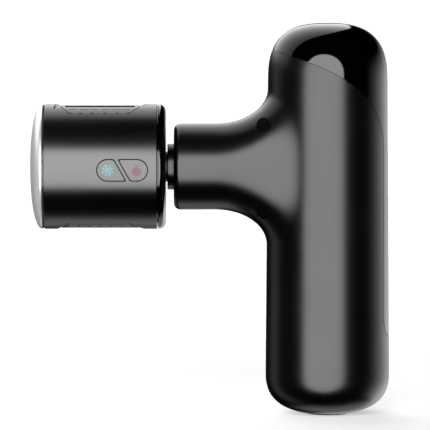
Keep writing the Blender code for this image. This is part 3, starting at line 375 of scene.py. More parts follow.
def bezier(start, first, second, end, steps):
    points = []
    for t in spaced(0.0, 1.0, steps):
        weights = ((1 - t) ** 3, 3 * t * (1 - t) ** 2, 3 * t * t * (1 - t), t**3)
        points.append(tuple(
            sum(weight * point[axis] for weight, point in zip(weights, (start, first, second, end)))
            for axis in range(len(start))
        ))
    return points


def fillet(before, corner, after, radius, steps=6):
    """Points round a corner, starting and ending no further from it than the radius."""
    here = Vector(corner)
    back, ahead = Vector(before) - here, Vector(after) - here
    size = min(radius, 0.45 * back.length, 0.45 * ahead.length)
    start, end = here + back.normalized() * size, here + ahead.normalized() * size
    curve = spaced(0.0, 1.0, steps)
    return [tuple((1 - t) ** 2 * start + 2 * t * (1 - t) * here + t * t * end) for t in curve]


def rounded(profile, radius, steps=4):
    """Rounds the corners of a (radius, height) profile, except its first and last point."""
    points = [profile[0]]
    for before, corner, after in zip(profile, profile[1:], profile[2:]):
        points += fillet(before, corner, after, radius, steps)
    points.append(profile[-1])
    return points


# ---- materials ----


class Nodes:
    """Short ways to add and join shader nodes."""

    def __init__(self, tree):
        self.tree = tree
        self.shader = tree.nodes.get("Principled BSDF")

    def add(self, kind, inputs=None, **settings):
        node = self.tree.nodes.new("ShaderNode" + kind)
        for key, value in settings.items():
            setattr(node, key, value)
        for key, value in (inputs or {}).items():
            self.feed(node.inputs[key], value)
        return node

    def feed(self, socket, value):
        if isinstance(value, bpy.types.NodeSocket):
            self.tree.links.new(value, socket)
        else:
            socket.default_value = value

    def dress(self, settings):
        """Feeds the shader's sockets. A plain value is set on the socket itself."""
        for key, value in settings.items():
            self.feed(self.shader.inputs[key], value)

    def math(self, operation, first, second=0.0):
        return self.add("Math", {0: first, 1: second}, operation=operation).outputs[0]

    def times(self, first, second):
        return self.math("MULTIPLY", first, second)

    def ramp(self, value, low, high, out_low=0.0, out_high=1.0, smooth=True):
        kind = "SMOOTHSTEP" if smooth else "LINEAR"
        inputs = {"Value": value, "From Min": low, "From Max": high, "To Min": out_low, "To Max": out_high}
        return self.add("MapRange", inputs, interpolation_type=kind).outputs[0]

    def noise(self, vector, scale, detail=2.0, roughness=0.5):
        inputs = {"Vector": vector, "Scale": scale, "Detail": detail, "Roughness": roughness}
        return self.add("TexNoise", inputs).outputs[0]

    def mix(self, factor, first, second):
        node = self.add("Mix", {"Factor": factor}, data_type="RGBA")
        self.feed(node.inputs[6], rgba(first))
        self.feed(node.inputs[7], rgba(second))
        return node.outputs[2]

    def drift(self, factor, colour, share):
        """From a colour to a share of it."""
        return self.mix(factor, colour, [part * share for part in colour])

    def bump(self, height, strength, distance):
        inputs = {"Height": height, "Strength": strength, "Distance": distance}
        return self.add("Bump", inputs).outputs[0]


def new_material(name):
    made = bpy.data.materials.new(name)
    made.use_nodes = True
    kit = Nodes(made.node_tree)
    return made, kit, kit.add("TexCoord").outputs["Object"]


def rgba(colour):
    return (*colour, 1.0)


def plastic(name, colour, roughness, ior=1.45, grain=2600.0, depth=0.004, spread=0.04, coat=0.0, worn=1.35):
    """Moulded plastic: spark-eroded grain, slow changes of sheen, and a little colour drift."""
    made, kit, place = new_material(name)
    slow = kit.noise(place, 45.0, 3.0)
    fine = kit.noise(place, grain, 2.0, 0.6)
    kit.dress({
        "Base Color": kit.drift(slow, colour, worn),
        "Roughness": kit.ramp(slow, 0.3, 0.7, roughness - spread, roughness + spread),
        "Normal": kit.bump(fine, 1.0, depth * MM), "IOR": ior, "Coat Weight": coat, "Coat Roughness": 0.05,
    })
    return made


def metal(name, colour, roughness, brushed=(900.0, 900.0, 900.0)):
    """Metal with fine scratches. Brushed gives the noise scale along X, Y and Z."""
    made, kit, place = new_material(name)
    mapping = kit.add("Mapping", {"Vector": place, "Scale": brushed})
    lines = kit.noise(mapping.outputs[0], 1.0, 4.0, 0.6)
    slow = kit.noise(place, 60.0, 2.0)
    kit.dress({
        "Base Color": kit.drift(slow, colour, 0.85),
        "Roughness": kit.ramp(lines, 0.3, 0.7, roughness * 0.8, roughness * 1.2),
        "Normal": kit.bump(lines, 0.6, 0.002 * MM), "Metallic": 1.0,
    })
    return made


def head_axis_distance(kit, place):
    """Distance from the head's axis, and the parts of the place."""
    parts = kit.add("SeparateXYZ", {"Vector": place}).outputs
    height = kit.math("SUBTRACT", parts[2], NECK_Z * MM)
    squares = kit.math("ADD", kit.times(parts[1], parts[1]), kit.times(height, height))
    return kit.math("SQRT", squares), parts


def head_plastic_with_painted_shade(name, depth):
    """The head's satin plastic, with painted shade: its reflection is switched off where it lies deeper than
    the depth below the drum's skin.
    """
    made = plastic(name, BLACK, 0.28, ior=1.62, spread=0.015)
    kit = Nodes(made.node_tree)
    place = kit.add("TexCoord").outputs["Object"]
    radius = head_axis_distance(kit, place)[0]
    unshaded_radius = (HEAD_RADIUS - depth) * MM
    # Painted shade: the specular level drops to nothing in recesses deeper than the depth below the drum's
    # skin.
    kit.dress({"Specular IOR Level": kit.ramp(radius, unshaded_radius - 0.1 * MM, unshaded_radius, 0.0, 0.5)})
    return made


def face_metal(name):
    """Satin aluminium turned on a lathe: fine rings about the head's axis."""
    made, kit, place = new_material(name)
    radius, parts = head_axis_distance(kit, place)
    ring_place = kit.add("CombineXYZ", {"X": radius, "Y": kit.times(parts[0], 0.6)}).outputs[0]
    rings = kit.noise(ring_place, 5200.0, 3.0, 0.6)
    slow = kit.noise(place, 70.0, 2.0)
    kit.dress({
        "Base Color": kit.mix(slow, (0.86, 0.86, 0.87), (0.74, 0.74, 0.755)),
        "Roughness": kit.ramp(rings, 0.3, 0.7, 0.34, 0.44),
        "Normal": kit.bump(rings, 0.5, 0.0015 * MM), "Metallic": 0.72, "Anisotropic": 0.3,
    })
    return made


def winding(name):
    """Enamelled copper wire laid in turns."""
    made, kit, place = new_material(name)
    settings = {"Vector": place, "Scale": 420.0, "Distortion": 1.5, "Detail": 2.0}
    wave = kit.add("TexWave", settings, bands_direction="Z").outputs["Fac"]
    kit.dress({
        "Base Color": kit.mix(wave, (0.32, 0.1, 0.04), (0.8, 0.36, 0.16)),
        "Normal": kit.bump(wave, 0.8, 0.08 * MM), "Metallic": 0.8, "Roughness": 0.32,
    })
    return made


def board(name):
    """Solder mask over copper tracks."""
    made, kit, place = new_material(name)
    tracks = kit.add(
        "TexBrick",
        {"Vector": place, "Scale": 420.0, "Mortar Size": 0.012, "Color1": rgba((0.015, 0.12, 0.05)),
         "Color2": rgba((0.02, 0.17, 0.07)), "Mortar": rgba((0.1, 0.32, 0.12))},
    )
    normal = kit.bump(tracks.outputs["Fac"], 0.5, 0.03 * MM)
    kit.dress({"Base Color": tracks.outputs["Color"], "Normal": normal, "Roughness": 0.35})
    return made


def fibres(name, colour):
    """Pressed felt."""
    made, kit, place = new_material(name)
    fuzz = kit.noise(place, 3800.0, 6.0, 0.75)
    tone = kit.mix(fuzz, [part * 0.5 for part in colour], colour)
    normal = kit.bump(fuzz, 1.0, 0.12 * MM)
    kit.dress({"Base Color": tone, "Normal": normal, "Roughness": 0.95, "Sheen Weight": 0.4})
    return made


def lens_plastic(name):
    made, kit, place = new_material(name)
    haze = kit.noise(place, 300.0, 3.0)
    kit.dress({
        "Base Color": kit.mix(haze, (0.03, 0.03, 0.033), (0.07, 0.07, 0.075)),
        "Roughness": kit.ramp(haze, 0.3, 0.7, 0.06, 0.12), "Coat Weight": 0.6, "Coat Roughness": 0.03,
    })
    return made


def print_ink(name, colour):
    """Pad-printed mark, slightly uneven."""
    made, kit, place = new_material(name)
    patch = kit.noise(place, 2600.0, 3.0, 0.6)
    tone = kit.drift(patch, colour, 0.7)
    kit.dress({"Base Color": tone, "Normal": kit.bump(patch, 0.5, 0.003 * MM), "Roughness": 0.35})
    return made


BLACK = (0.0005, 0.0005, 0.0005)
DEEP_BLACK = (0.0002, 0.0002, 0.0002)
FINISH = {
    "satin_black": plastic("satin_black_shell", BLACK, 0.29, spread=0.015),
    # The head and grille finishes carry painted shade: no reflection where they lie deeper than SHADE_DEPTH.
    "head_black": head_plastic_with_painted_shade("satin_black_head_painted_shade", SHADE_DEPTH),
    "grille_black": head_plastic_with_painted_shade("satin_black_grille_painted_shade", SHADE_DEPTH),
    "gloss_black": plastic("gloss_black", DEEP_BLACK, 0.03, grain=500.0, depth=0.0004, spread=0.01),
    "cap_black": plastic("gloss_black_cap", BLACK, 0.12, ior=1.55, spread=0.02),
    "cover_black": plastic("screw_cover_black", BLACK, 0.55, ior=1.12, grain=1800.0, depth=0.008),
    "matte_black": plastic("matte_black", (0.006, 0.006, 0.006), 0.45, grain=1800.0, depth=0.01),
    "rubber": plastic("rubber", (0.012, 0.012, 0.012), 0.75, grain=1500.0, depth=0.02, spread=0.08),
    "acetal": plastic("acetal", (0.78, 0.77, 0.72), 0.42, worn=0.93),
    "ceramic": plastic("ceramic", (0.82, 0.82, 0.8), 0.55, grain=900.0, depth=0.01, worn=0.95),
    "cell_wrap": plastic("cell_wrap", (0.03, 0.17, 0.24), 0.28, grain=120.0, depth=0.03, coat=0.5, worn=1.1),
    "felt": fibres("felt", (0.05, 0.05, 0.055)),
    "face": face_metal("satin_aluminium_face"),
    "aluminium": metal("aluminium", (0.8, 0.8, 0.81), 0.32, brushed=(300.0, 2600.0, 2600.0)),
    "steel": metal("steel", (0.58, 0.58, 0.6), 0.28, brushed=(1500.0, 1500.0, 260.0)),
    "brass": metal("brass", (0.78, 0.56, 0.24), 0.24),
    "copper": winding("copper_winding"),
    "board_green": board("solder_mask"),
    "smoked_lens": lens_plastic("smoked_lens"),
    "cold_ink": print_ink("cold_mark", (0.09, 0.27, 0.3)),
    "heat_ink": print_ink("heat_mark", (0.09, 0.012, 0.022)),
}


# ---- grip and neck skin ----


def dome(radius, height, power, steps):
    """Superellipse quarter from the rim up to just before the pole, as (radius, height)."""
    share = 2.0 / power
    angles = spaced(0.0, 0.5 * math.pi, steps)[:-1]
    return [(radius * math.cos(angle) ** share, height * math.sin(angle) ** share) for angle in angles]


def grip_radius(z, inset):
    low_z, high_z = LOW_DOME[0], GRIP_TOP - HIGH_DOME[0]
    share = (z - low_z) / (high_z - low_z)
    return GRIP_RADIUS_LOW + (GRIP_RADIUS_HIGH - GRIP_RADIUS_LOW) * share - inset


def powered(value, power):
    return math.copysign(abs(value) ** power, value)


def flare_foot(spread):
    """The flare's edge on the grip: the angle round the grip and the height above the neck's axis."""
    angle = math.radians(FLARE_HALF_ANGLE) * powered(math.sin(spread), FLARE_SQUARENESS)
    return angle, FLARE_HALF_HEIGHT * powered(math.cos(spread), FLARE_SQUARENESS)


def flare_curve(turn, spread, inset, steps):
    """From the flare's edge on the grip to the neck, tangent to both."""
    side = math.sin(turn) ** 2
    angle, height = flare_foot(spread)
    z = NECK_Z + height
    reach = grip_radius(z, inset)
    foot = Vector((-reach * math.cos(angle), -reach * math.sin(angle), z))
    outward = Vector((GRIP_RADIUS_HIGH * angle, height)).normalized()
    along_grip = Vector((math.sin(angle) * outward.x, -math.cos(angle) * outward.x, outward.y))
    on_grip = REACH_ON_GRIP[0] * (1 - side) + REACH_ON_GRIP[1] * side
    on_tube = REACH_ON_NECK[0] * (1 - side) + REACH_ON_NECK[1] * side
    radius = NECK_RADIUS - inset
    start = Vector((FLARE_START_X, -radius * math.sin(turn), NECK_Z + radius * math.cos(turn)))
    return bezier(foot, foot - along_grip * on_grip, start + Vector((on_tube, 0.0, 0.0)), start, steps)


def body_solid(
    inset, columns=64, rows=32, back_columns=80, dome_steps=22, apron_steps=5, flare_steps=24, edge_steps=7,
):
    """Closed skin of the grip, flare and neck, shrunk by the inset.

    The grip is a grid of rings with a window in front. From the window's border, rings follow the grip to the
    flare's edge, run along the flare to the neck, round its end and close it.
    """
    window = math.radians(WINDOW_HALF_ANGLE)
    angles = spaced(-window, window, columns)[:-1]
    angles += spaced(window, 2.0 * math.pi - window, back_columns)[:-1]
    count = len(angles)
    low_z = NECK_Z - WINDOW_HALF_HEIGHT
    levels = spaced(low_z, NECK_Z + WINDOW_HALF_HEIGHT, rows)
    waist = spaced(LOW_DOME[0], low_z, WAIST_RINGS)[1:-1]
    low = dome(GRIP_RADIUS_LOW - inset, LOW_DOME[0] - inset, LOW_DOME[1], dome_steps)
    high = dome(GRIP_RADIUS_HIGH - inset, HIGH_DOME[0] - inset, HIGH_DOME[1], dome_steps)
    outline = [(radius, LOW_DOME[0] - height) for radius, height in reversed(low)]
    outline += [(grip_radius(z, inset), z) for z in waist]
    first_level = len(outline)
    outline += [(grip_radius(z, inset), z) for z in levels[:-1]]
    last_level = len(outline)
    outline += [(radius, GRIP_TOP - HIGH_DOME[0] + height) for radius, height in high]

    bm = bmesh.new()

    def vertex(point):
        return bm.verts.new([value * MM for value in point])

    grid = []
    for row, (radius, z) in enumerate(outline):
        line = []
        for column, angle in enumerate(angles):
            inside = first_level < row < last_level and 0 < column < columns
            line.append(None if inside else vertex((-radius * math.cos(angle), -radius * math.sin(angle), z)))
        grid.append(line)
    for row in range(len(outline) - 1):
        for column in range(count):
            if first_level <= row < last_level and column < columns:
                continue
            after = (column + 1) % count
            bm.faces.new((grid[row][column], grid[row][after], grid[row + 1][after], grid[row + 1][column]))
    for line, z in ((grid[0], inset), (grid[-1], GRIP_TOP - inset)):
        pole = vertex((0.0, 0.0, z))
        for column in range(count):
            bm.faces.new((line[column], line[(column + 1) % count], pole))

    middle = columns // 2
    border = [(last_level, column) for column in range(middle, columns)]
    border += [(row, columns) for row in range(last_level, first_level, -1)]
    border += [(first_level, column) for column in range(columns, 0, -1)]
    border += [(row, 0) for row in range(first_level, last_level)]
    border += [(last_level, column) for column in range(middle)]
    size = len(border)
    ring = [grid[row][column] for row, column in border]
    curves = []
    for index, (row, column) in enumerate(border):
        even = 2.0 * math.pi * index / size
        angle = angles[column] if column < columns else window
        height = outline[row][1] - NECK_Z
        across = powered(angle / math.radians(FLARE_HALF_ANGLE), 1.0 / FLARE_SQUARENESS)
        along = powered(height / FLARE_HALF_HEIGHT, 1.0 / FLARE_SQUARENESS)
        straight = math.atan2(across, along) % (2.0 * math.pi)
        if index == 0:
            straight = 0.0
        spread = 0.5 * (even + straight)
        foot_angle, foot_height = flare_foot(spread)
        foot_z = NECK_Z + foot_height
        apron = []
        for step in range(1, apron_steps):
            share = step / apron_steps
            turn = angle + (foot_angle - angle) * share
            z = outline[row][1] + (foot_z - outline[row][1]) * share
            reach = grip_radius(z, inset)
            apron.append(Vector((-reach * math.cos(turn), -reach * math.sin(turn), z)))
        curves.append(apron + flare_curve(even, spread, inset, flare_steps))

    def bridge(old, points):
        new = [vertex(point) for point in points]
        for index in range(size):
            after = (index + 1) % size
            bm.faces.new((old[index], old[after], new[after], new[index]))
        return new

    for step in range(flare_steps + apron_steps):
        ring = bridge(ring, [curve[step] for curve in curves])
    end_x, radius = NECK_END + inset, NECK_RADIUS - inset
    edge = max(NECK_EDGE - inset, 0.3)
    turns = spaced(0.0, 2.0 * math.pi, size)[:-1]
    for angle in spaced(0.0, 0.5 * math.pi, edge_steps):
        x, reach = end_x + edge * (1.0 - math.sin(angle)), radius - edge * (1.0 - math.cos(angle))
        ring = bridge(ring, [(x, -reach * math.sin(turn), NECK_Z + reach * math.cos(turn)) for turn in turns])
    bm.faces.new(ring)
    bmesh.ops.recalc_face_normals(bm, faces=bm.faces)
    return bm


def panel_seam():
    """The panel's edge in side view, from in front of the top dome to behind the grip's foot."""
    front = bezier((-21.5, 137.1), (3.0, 130.4), (PANEL_BACK_X, 122.6), (PANEL_BACK_X, 99.8), 48)
    tip = bezier((PANEL_BACK_X, 38.0), (PANEL_BACK_X, 33.5), (21.6, 29.6), (24.6, 27.6), 16)
    return [PANEL_FRONT] + front + tip


def panel_region(amount):
    """Everything above and behind the seam, grown by the amount."""
    seam = panel_seam()
    grown = []
    for index, point in enumerate(seam):
        before, after = seam[max(index - 1, 0)], seam[min(index + 1, len(seam) - 1)]
        along = (Vector(after) - Vector(before)).normalized()
        grown.append((point[0] + along.y * amount, point[1] - along.x * amount))
    outline = grown + [(FAR_X, grown[-1][1]), (FAR_X, FAR_Z), (grown[0][0], FAR_Z)]
    return prism(outline, 1, -30.0, 30.0)


def half_block(side, gap):
    low_y, high_y = (-40.0, -gap) if side < 0 else (gap, 40.0)
    return block((-80.0, low_y, -10.0), (FAR_X, high_y, FAR_Z))


def upright(node, grow):
    """A node's round-ended outline in Y and Z, longer along Z."""
    low, high = low_mm(node), high_mm(node)
    width, height = high.y - low.y + 2.0 * grow, high.z - low.z + 2.0 * grow
    middle = 0.5 * (low.z + high.z)
    radius = width / 2.0
    run = height / 2.0 - radius
    ends = arc((run, 0.0), radius, -90.0, 90.0, 12) + arc((-run, 0.0), radius, 90.0, 270.0, 12)
    return [(y, middle + z) for z, y in ends]


def skin(name, inset):
    return to_object(name, body_solid(inset))


def thicken(item, thickness, edge):
    change = item.modifiers.new("thickness", "SOLIDIFY")
    change.thickness = thickness * MM
    change.offset = -1.0
    change.use_even_offset = True
    baked(item)
    return bevel(item, edge)


def build_skin():
    mouth = on_neck(rod(MOUTH_RADIUS, NECK_END - 2.0, NECK_END + 8.0, 96))
    pad_way = rod(PAD_RADIUS + SEAM, -1.0, PAD_TOP + 3.0, 96)
    button_way = along_x(rod(BUTTON_RADIUS + SEAM, *BACK_X, 96), BUTTON_Z)
    lens_way = prism(upright("indicator_lens", SEAM), 0, *BACK_X)
    port_way = prism(upright("usb_port", PORT_SEAM), 0, *BACK_X)

    for name, side in (("left_shell", -1), ("right_shell", 1)):
        shell = skin(f"{name}_skin", 0.0)
        boolean(shell, "INTERSECT", half_block(side, SEAM / 2.0))
        tools = [panel_region(PANEL_SEAM / 2.0), mouth.copy(), pad_way.copy(), port_way.copy()]
        if side < 0:
            for z in PLUG_LEVELS:
                hole = rod(PLUG_RADIUS + COVER_CLEARANCE, *COVER_HOLE_Y, 48)
                tools.append(moved(hole, (PLUG_X, 0.0, z), ALONG_Y))
        boolean(shell, "DIFFERENCE", *tools)
        thicken(drop_cut_faces(shell), SHELL_THICKNESS, 0.08)
        finished(shell, FINISH["satin_black"], "gun_body", (name,))

    panel = skin("gloss_panel_skin", 0.0)
    boolean(panel, "INTERSECT", panel_region(-PANEL_SEAM / 2.0))
    boolean(panel, "DIFFERENCE", button_way.copy(), lens_way.copy())
    thicken(drop_cut_faces(panel), SHELL_THICKNESS, 0.06)
    finished(panel, FINISH["gloss_black"], "gun_body", ("gloss_panel",))

    liner = skin("shell_liner", LINER_INSET)
    boolean(liner, "DIFFERENCE", mouth, pad_way, button_way, lens_way, port_way)
    thicken(drop_cut_faces(liner), LINER_THICKNESS, 0.05)
    finished(liner, FINISH["matte_black"], "gun_body")


# ---- small parts of the gun ----


def lathe(
    name, profile, material, body, replaces=(), segments=128, closed=True, place=None, turn=None,
):
    """A turned piece along the neck, or at a place of its own."""
    bm = turned(profile, segments, closed)
    bm = on_neck(bm) if place is None else moved(bm, place, turn)
    return finished(to_object(name, bm), FINISH[material], body, replaces)


def build_screw_plugs():
    floor = low_mm("screw_plug_upper").y - 2.0
    for label, z in zip(("upper", "lower"), PLUG_LEVELS):
        plug = skin(f"screw_cover_{label}", COVER_SINK)
        way = rod(PLUG_RADIUS, floor, COVER_FLOOR_Y, 64)
        boolean(plug, "INTERSECT", moved(way, (PLUG_X, 0.0, z), ALONG_Y))
        bevel(plug, 0.18, 3)
        finished(plug, FINISH["cover_black"], "gun_body", (f"screw_plug_{label}",))


def build_base_foot():
    grooves = [(0.0, 0.4), (1.4, 0.4), (1.8, 0.0), (3.6, 0.0), (4.0, 0.4), (4.6, 0.4), (5.0, 0.0)]
    outline = grooves + [(PAD_RADIUS, 0.0), (PAD_RADIUS, PAD_TOP), (0.0, PAD_TOP)]
    lathe(
        "base_foot", rounded(outline, 0.3), "rubber", "gun_body", ("base_pad",),
        closed=False, place=(0.0, 0.0, 0.0),
    )


def build_dust_wiper():
    front, rear = low_mm("dust_seal").x, high_mm("dust_seal").x
    inner, outer = SLEEVE_RADIUS + SEAL_CLEARANCE, high_mm("dust_seal").y
    outline = [(inner, rear), (inner, front + 0.6), (inner + 0.5, front), (outer, front), (outer, rear)]
    lathe("dust_wiper", outline, "felt", "gun_body", ("dust_seal",))


def build_indicator():
    lens = skin("indicator_window", LENS_SINK)
    boolean(lens, "INTERSECT", prism(upright("indicator_lens", 0.0), 0, LENS_BACK_X, BACK_X[1]))
    finished(bevel(lens, 0.25, 3), FINISH["smoked_lens"], "gun_body", ("indicator_lens",))
    low, high = low_mm("indicator_lens"), high_mm("indicator_lens")
    base_x, rim_x, top_x = LIGHT_X
    outline = [(0.0, base_x), (LIGHT_RADIUS, base_x), (LIGHT_RADIUS, rim_x), (0.0, top_x)]
    for number in range(LIGHTS):
        z = low.z + (high.z - low.z) * (0.14 + 0.24 * number)
        light = turned(rounded(outline, 0.2), 32, closed=False)
        light = to_object(f"indicator_light_{number + 1}", along_x(light, z))
        finished(light, FINISH["acetal"], "gun_body")


def build_power_key():
    """A cap that follows the panel, with a ring groove, on a stem that reaches the switch."""
    low, high = low_mm("power_button").x, high_mm("power_button").x
    cap = skin("power_cap", 0.0)
    boolean(cap, "INTERSECT", along_x(rod(BUTTON_RADIUS, PANEL_BACK_X, BACK_X[1], 96), BUTTON_Z))
    inner, outer, depth = BUTTON_RING
    ring = [(inner, high - depth), (outer, high - depth), (outer, BACK_X[1]), (inner, BACK_X[1])]
    boolean(cap, "DIFFERENCE", along_x(turned(ring, 96), BUTTON_Z))
    finished(bevel(cap, 0.12, 3), FINISH["gloss_black"], "power_key", ("power_button",))
    collar_x = PANEL_BACK_X - 0.05
    stem = [
        (0.0, low), (BUTTON_STEM_RADIUS, low), (BUTTON_STEM_RADIUS, PANEL_BACK_X - 0.6),
        (BUTTON_COLLAR_RADIUS, collar_x), (0.0, collar_x),
    ]
    lathe(
        "power_stem", rounded(stem, 0.25), "matte_black", "power_key",
        closed=False, place=(0.0, 0.0, BUTTON_Z), turn=ALONG_X,
    )


def build_port():
    low, high = low_mm("usb_port"), high_mm("usb_port")
    shell = to_object("charge_port", prism(upright("usb_port", 0.0), 0, low.x, high.x))
    boolean(shell, "DIFFERENCE", prism(upright("usb_port", -PORT_WALL), 0, low.x + PORT_FLOOR, high.x + 2.0))
    finished(bevel(shell, 0.1, 2), FINISH["steel"], "gun_body", ("usb_port",))
    middle = 0.5 * (low.z + high.z)
    y, z = TONGUE_HALF_SIZE
    tongue = block((low.x + PORT_FLOOR + 0.1, -y, middle - z), (high.x - 0.8, y, middle + z))
    tongue = to_object("charge_port_tongue", tongue)
    finished(bevel(tongue, 0.12, 3), FINISH["matte_black"], "gun_body")
    thick, wide = CONTACT_HALF_SIZE
    for label, side in (("left", -1), ("right", 1)):
        for number in range(CONTACTS):
            z = middle + CONTACT_PITCH * (number - 0.5 * (CONTACTS - 1))
            strip = block((low.x + 3.0, -thick, z - wide), (high.x - 1.0, thick, z + wide))
            moved(strip, (0.0, side * (y + 0.01), 0.0))
            contact = bevel(to_object(f"charge_contact_{label}_{number + 1}", strip), 0.02)
            finished(contact, FINISH["brass"], "gun_body")


def build_sleeve():
    """The stem that shows between neck and head, with the socket that takes the head's plug."""
    outline = [
        (SOCKET_RADIUS, SOCKET_FLOOR_X), (SOCKET_RADIUS, SLEEVE_FRONT + 0.8),
        (SOCKET_RADIUS + 0.7, SLEEVE_FRONT), (SLEEVE_RADIUS, SLEEVE_FRONT),
        (SLEEVE_RADIUS, SLEEVE_REAR), (STUB_BORE_RADIUS, SLEEVE_REAR), (STUB_BORE_RADIUS, STUB_BORE_X),
        (WIRE_BORE_RADIUS, STUB_BORE_X), (WIRE_BORE_RADIUS, SOCKET_FLOOR_X),
    ]
    outline = rounded(outline, 0.35)
    lathe("plunger_tube", outline, "satin_black", "plunger", ("plunger_sleeve",))


# ---- head ----


def build_face():
    """The metal plate, domed in front and a shallow cup behind, and the gasket round its rim."""
    crown = dome(HEAD_RADIUS, FACE_REAR - HEAD_FRONT, PLATE_POWER, 28)
    rim_radius, rim_x = PLATE_RIM
    floor_radius, floor_x = PLATE_FLOOR
    outline = [(0.0, HEAD_FRONT)]
    outline += [(radius, FACE_REAR - height) for radius, height in reversed(crown)]
    outline += [(HEAD_RADIUS, FACE_REAR - 0.01), (HEAD_RADIUS - 0.15, FACE_REAR)]
    outline += [(rim_radius, FACE_REAR), (rim_radius, rim_x), (floor_radius, rim_x)]
    outline += [(floor_radius, floor_x), (0.0, floor_x)]
    lathe("massage_plate", outline, "face", "head", ("face_plate",), 192, closed=False)
    front, rear = low_mm("face_gasket").x, high_mm("face_gasket").x
    outer = high_mm("face_gasket").y
    ring = rounded([(GASKET_RADIUS, rear), (GASKET_RADIUS, front), (outer, front), (outer, rear)], 0.1)
    lathe("plate_gasket", ring, "rubber", "head", ("face_gasket",), 192)


def scoop_outline():
    """The recess round a vent in X and Y: its ends sweep inwards towards the grille."""
    half = GRILLE_HALF_WIDTH + SCOOP_MARGIN
    front = bezier((-101.4, 0.0), (-101.3, -5.0), (-99.6, -7.4), (-97.0, -half), 10)
    rear = bezier((-73.9, -half), (-71.3, -7.4), (-68.2, -5.0), (-68.1, 0.0), 10)
    lower = front + rear
    return lower + [(x, -y) for x, y in reversed(lower[1:-1])]


def grille_outline(shrink):
    """The grille in X and Y, an octagon with slanted ends."""
    half, end_half = GRILLE_HALF_WIDTH - shrink, GRILLE_END_HALF_WIDTH
    ends = (GRILLE_ENDS_X[0] + 2.0 * shrink, GRILLE_ENDS_X[1] - 2.0 * shrink)
    corners = (GRILLE_CORNERS_X[0] + shrink, GRILLE_CORNERS_X[1] - shrink)
    lower = [(ends[0], -end_half), (corners[0], -half), (corners[1], -half), (ends[1], -end_half)]
    return lower + [(x, -y) for x, y in reversed(lower)]


def front_slit(side):
    """A short slanted groove ahead of the recess, in X and Y."""
    return [(-101.7, side * 1.0), (-101.2, side * 1.0), (-102.0, side * 7.6), (-102.6, side * 7.6)]


def vent_reach(side):
    return sorted((NECK_Z + side * VENT_REACH[0], NECK_Z + side * VENT_REACH[1]))


def shallow_tool(outline, reach, depth):
    """A cutting mesh that goes only to the depth below the drum's skin."""
    tool = to_object("shallow_tool", prism(outline, 2, *reach))
    boolean(tool, "DIFFERENCE", on_neck(rod(HEAD_RADIUS - depth, *HEAD_SPAN, 256)))
    bm = bmesh.new()
    bm.from_mesh(tool.data)
    bpy.data.objects.remove(tool, do_unlink=True)
    return bm


def build_housing():
    inner, chamfered = HEAD_RADIUS - HOUSING_WALL, HEAD_RADIUS - HOUSING_EDGE
    outline = [
        (inner, HOUSING_FRONT), (chamfered, HOUSING_FRONT),
        (HEAD_RADIUS, HOUSING_FRONT + HOUSING_EDGE), (HEAD_RADIUS, HOUSING_REAR - HOUSING_EDGE),
        (chamfered, HOUSING_REAR), (inner, HOUSING_REAR),
    ]
    housing = to_object("drum_housing", on_neck(turned(outline, 256)))
    for side in (1, -1):
        reach = vent_reach(side)
        scoop = shallow_tool(scoop_outline(), reach, VENT_DEPTH)
        boolean(housing, "DIFFERENCE", scoop, prism(grille_outline(0.0), 2, *reach))
        for slit_side in (1, -1):
            boolean(housing, "DIFFERENCE", shallow_tool(front_slit(slit_side), reach, SLIT_DEPTH))
    for label in ("cold", "heat"):
        boolean(housing, "DIFFERENCE", prism(key_outline(label, KEY_GAP / 2.0), 1, *KEY_HOLE_Y))
    finished(bevel(housing, 0.08, 2, 50.0), FINISH["head_black"], "head", ("head_housing",))
    for label, side in (("top", 1), ("bottom", -1)):
        build_grille(label, side)


def build_grille(label, side):
    """A curved louvre: ribs along the head with sunk webs, and a row of notches down each long edge."""
    outer = HEAD_RADIUS - VENT_DEPTH
    inner = outer - GRILLE_THICKNESS
    front_x, rear_x = GRILLE_TUBE_X
    reach = vent_reach(side)
    tube = turned([(inner, front_x), (outer, front_x), (outer, rear_x), (inner, rear_x)], 256)
    grille = to_object(f"louvre_{label}", on_neck(tube))
    boolean(grille, "INTERSECT", prism(grille_outline(GRILLE_CLEARANCE), 2, *reach))
    sunk = outer - LOUVRE_DEPTH
    tools = []
    for way, row in ((-1, THIN_ROW), (-1, WIDE_ROW), (1, WIDE_ROW), (1, THIN_ROW)):
        y, half_width, dashes = way * row[0], row[1], row[2]
        inset = max(0.0, abs(y) - GRILLE_END_HALF_WIDTH) * 0.55
        low_x, high_x = LOUVRE_X[0] + inset, LOUVRE_X[1] - inset
        if row is WIDE_ROW:
            z_floor = math.sqrt(sunk * sunk - y * y)
            floor, roof = sorted((NECK_Z + side * z_floor, NECK_Z + side * VENT_REACH[1]))
            tools.append(block((low_x, y - half_width, floor), (high_x, y + half_width, roof)))
        pitch = (high_x - low_x) / dashes
        for dash in range(dashes):
            start = low_x + pitch * dash + BAR_HALF_WIDTH
            low_corner = (start, y - half_width + 0.05, reach[0])
            high_corner = (start + pitch - 2.0 * BAR_HALF_WIDTH, y + half_width - 0.05, reach[1])
            tools.append(block(low_corner, high_corner))
    for x in NOTCHES_X:
        for y in (-NOTCH_Y, NOTCH_Y):
            tools.append(moved(rod(NOTCH_RADIUS, *reach, 24), (x, y, 0.0)))
    boolean(grille, "DIFFERENCE", *tools)
    bevel(grille, 0.08, 2, 50.0)
    finished(grille, FINISH["grille_black"], "head", (f"vent_grille_{label}",))


def key_outline(label, grow):
    """A key's outline in X and Z: half of a capsule whose inner edge leans."""
    radius = KEY_RADIUS + grow
    side = 1.0 if label == "cold" else -1.0
    centre = KEY_CENTRES[label]
    split = KEY_SPLITS[label] + side * grow * math.hypot(1.0, KEY_LEAN)
    top, bottom = (split - KEY_LEAN * radius, radius), (split + KEY_LEAN * radius, -radius)
    outline = arc((centre, 0.0), radius, 90.0, 90.0 + side * 180.0, 28)
    outline += fillet((centre, -radius), bottom, top, KEY_CORNER)
    outline += fillet(bottom, top, (centre, radius), KEY_CORNER)
    return [(x, NECK_Z + z) for x, z in outline]


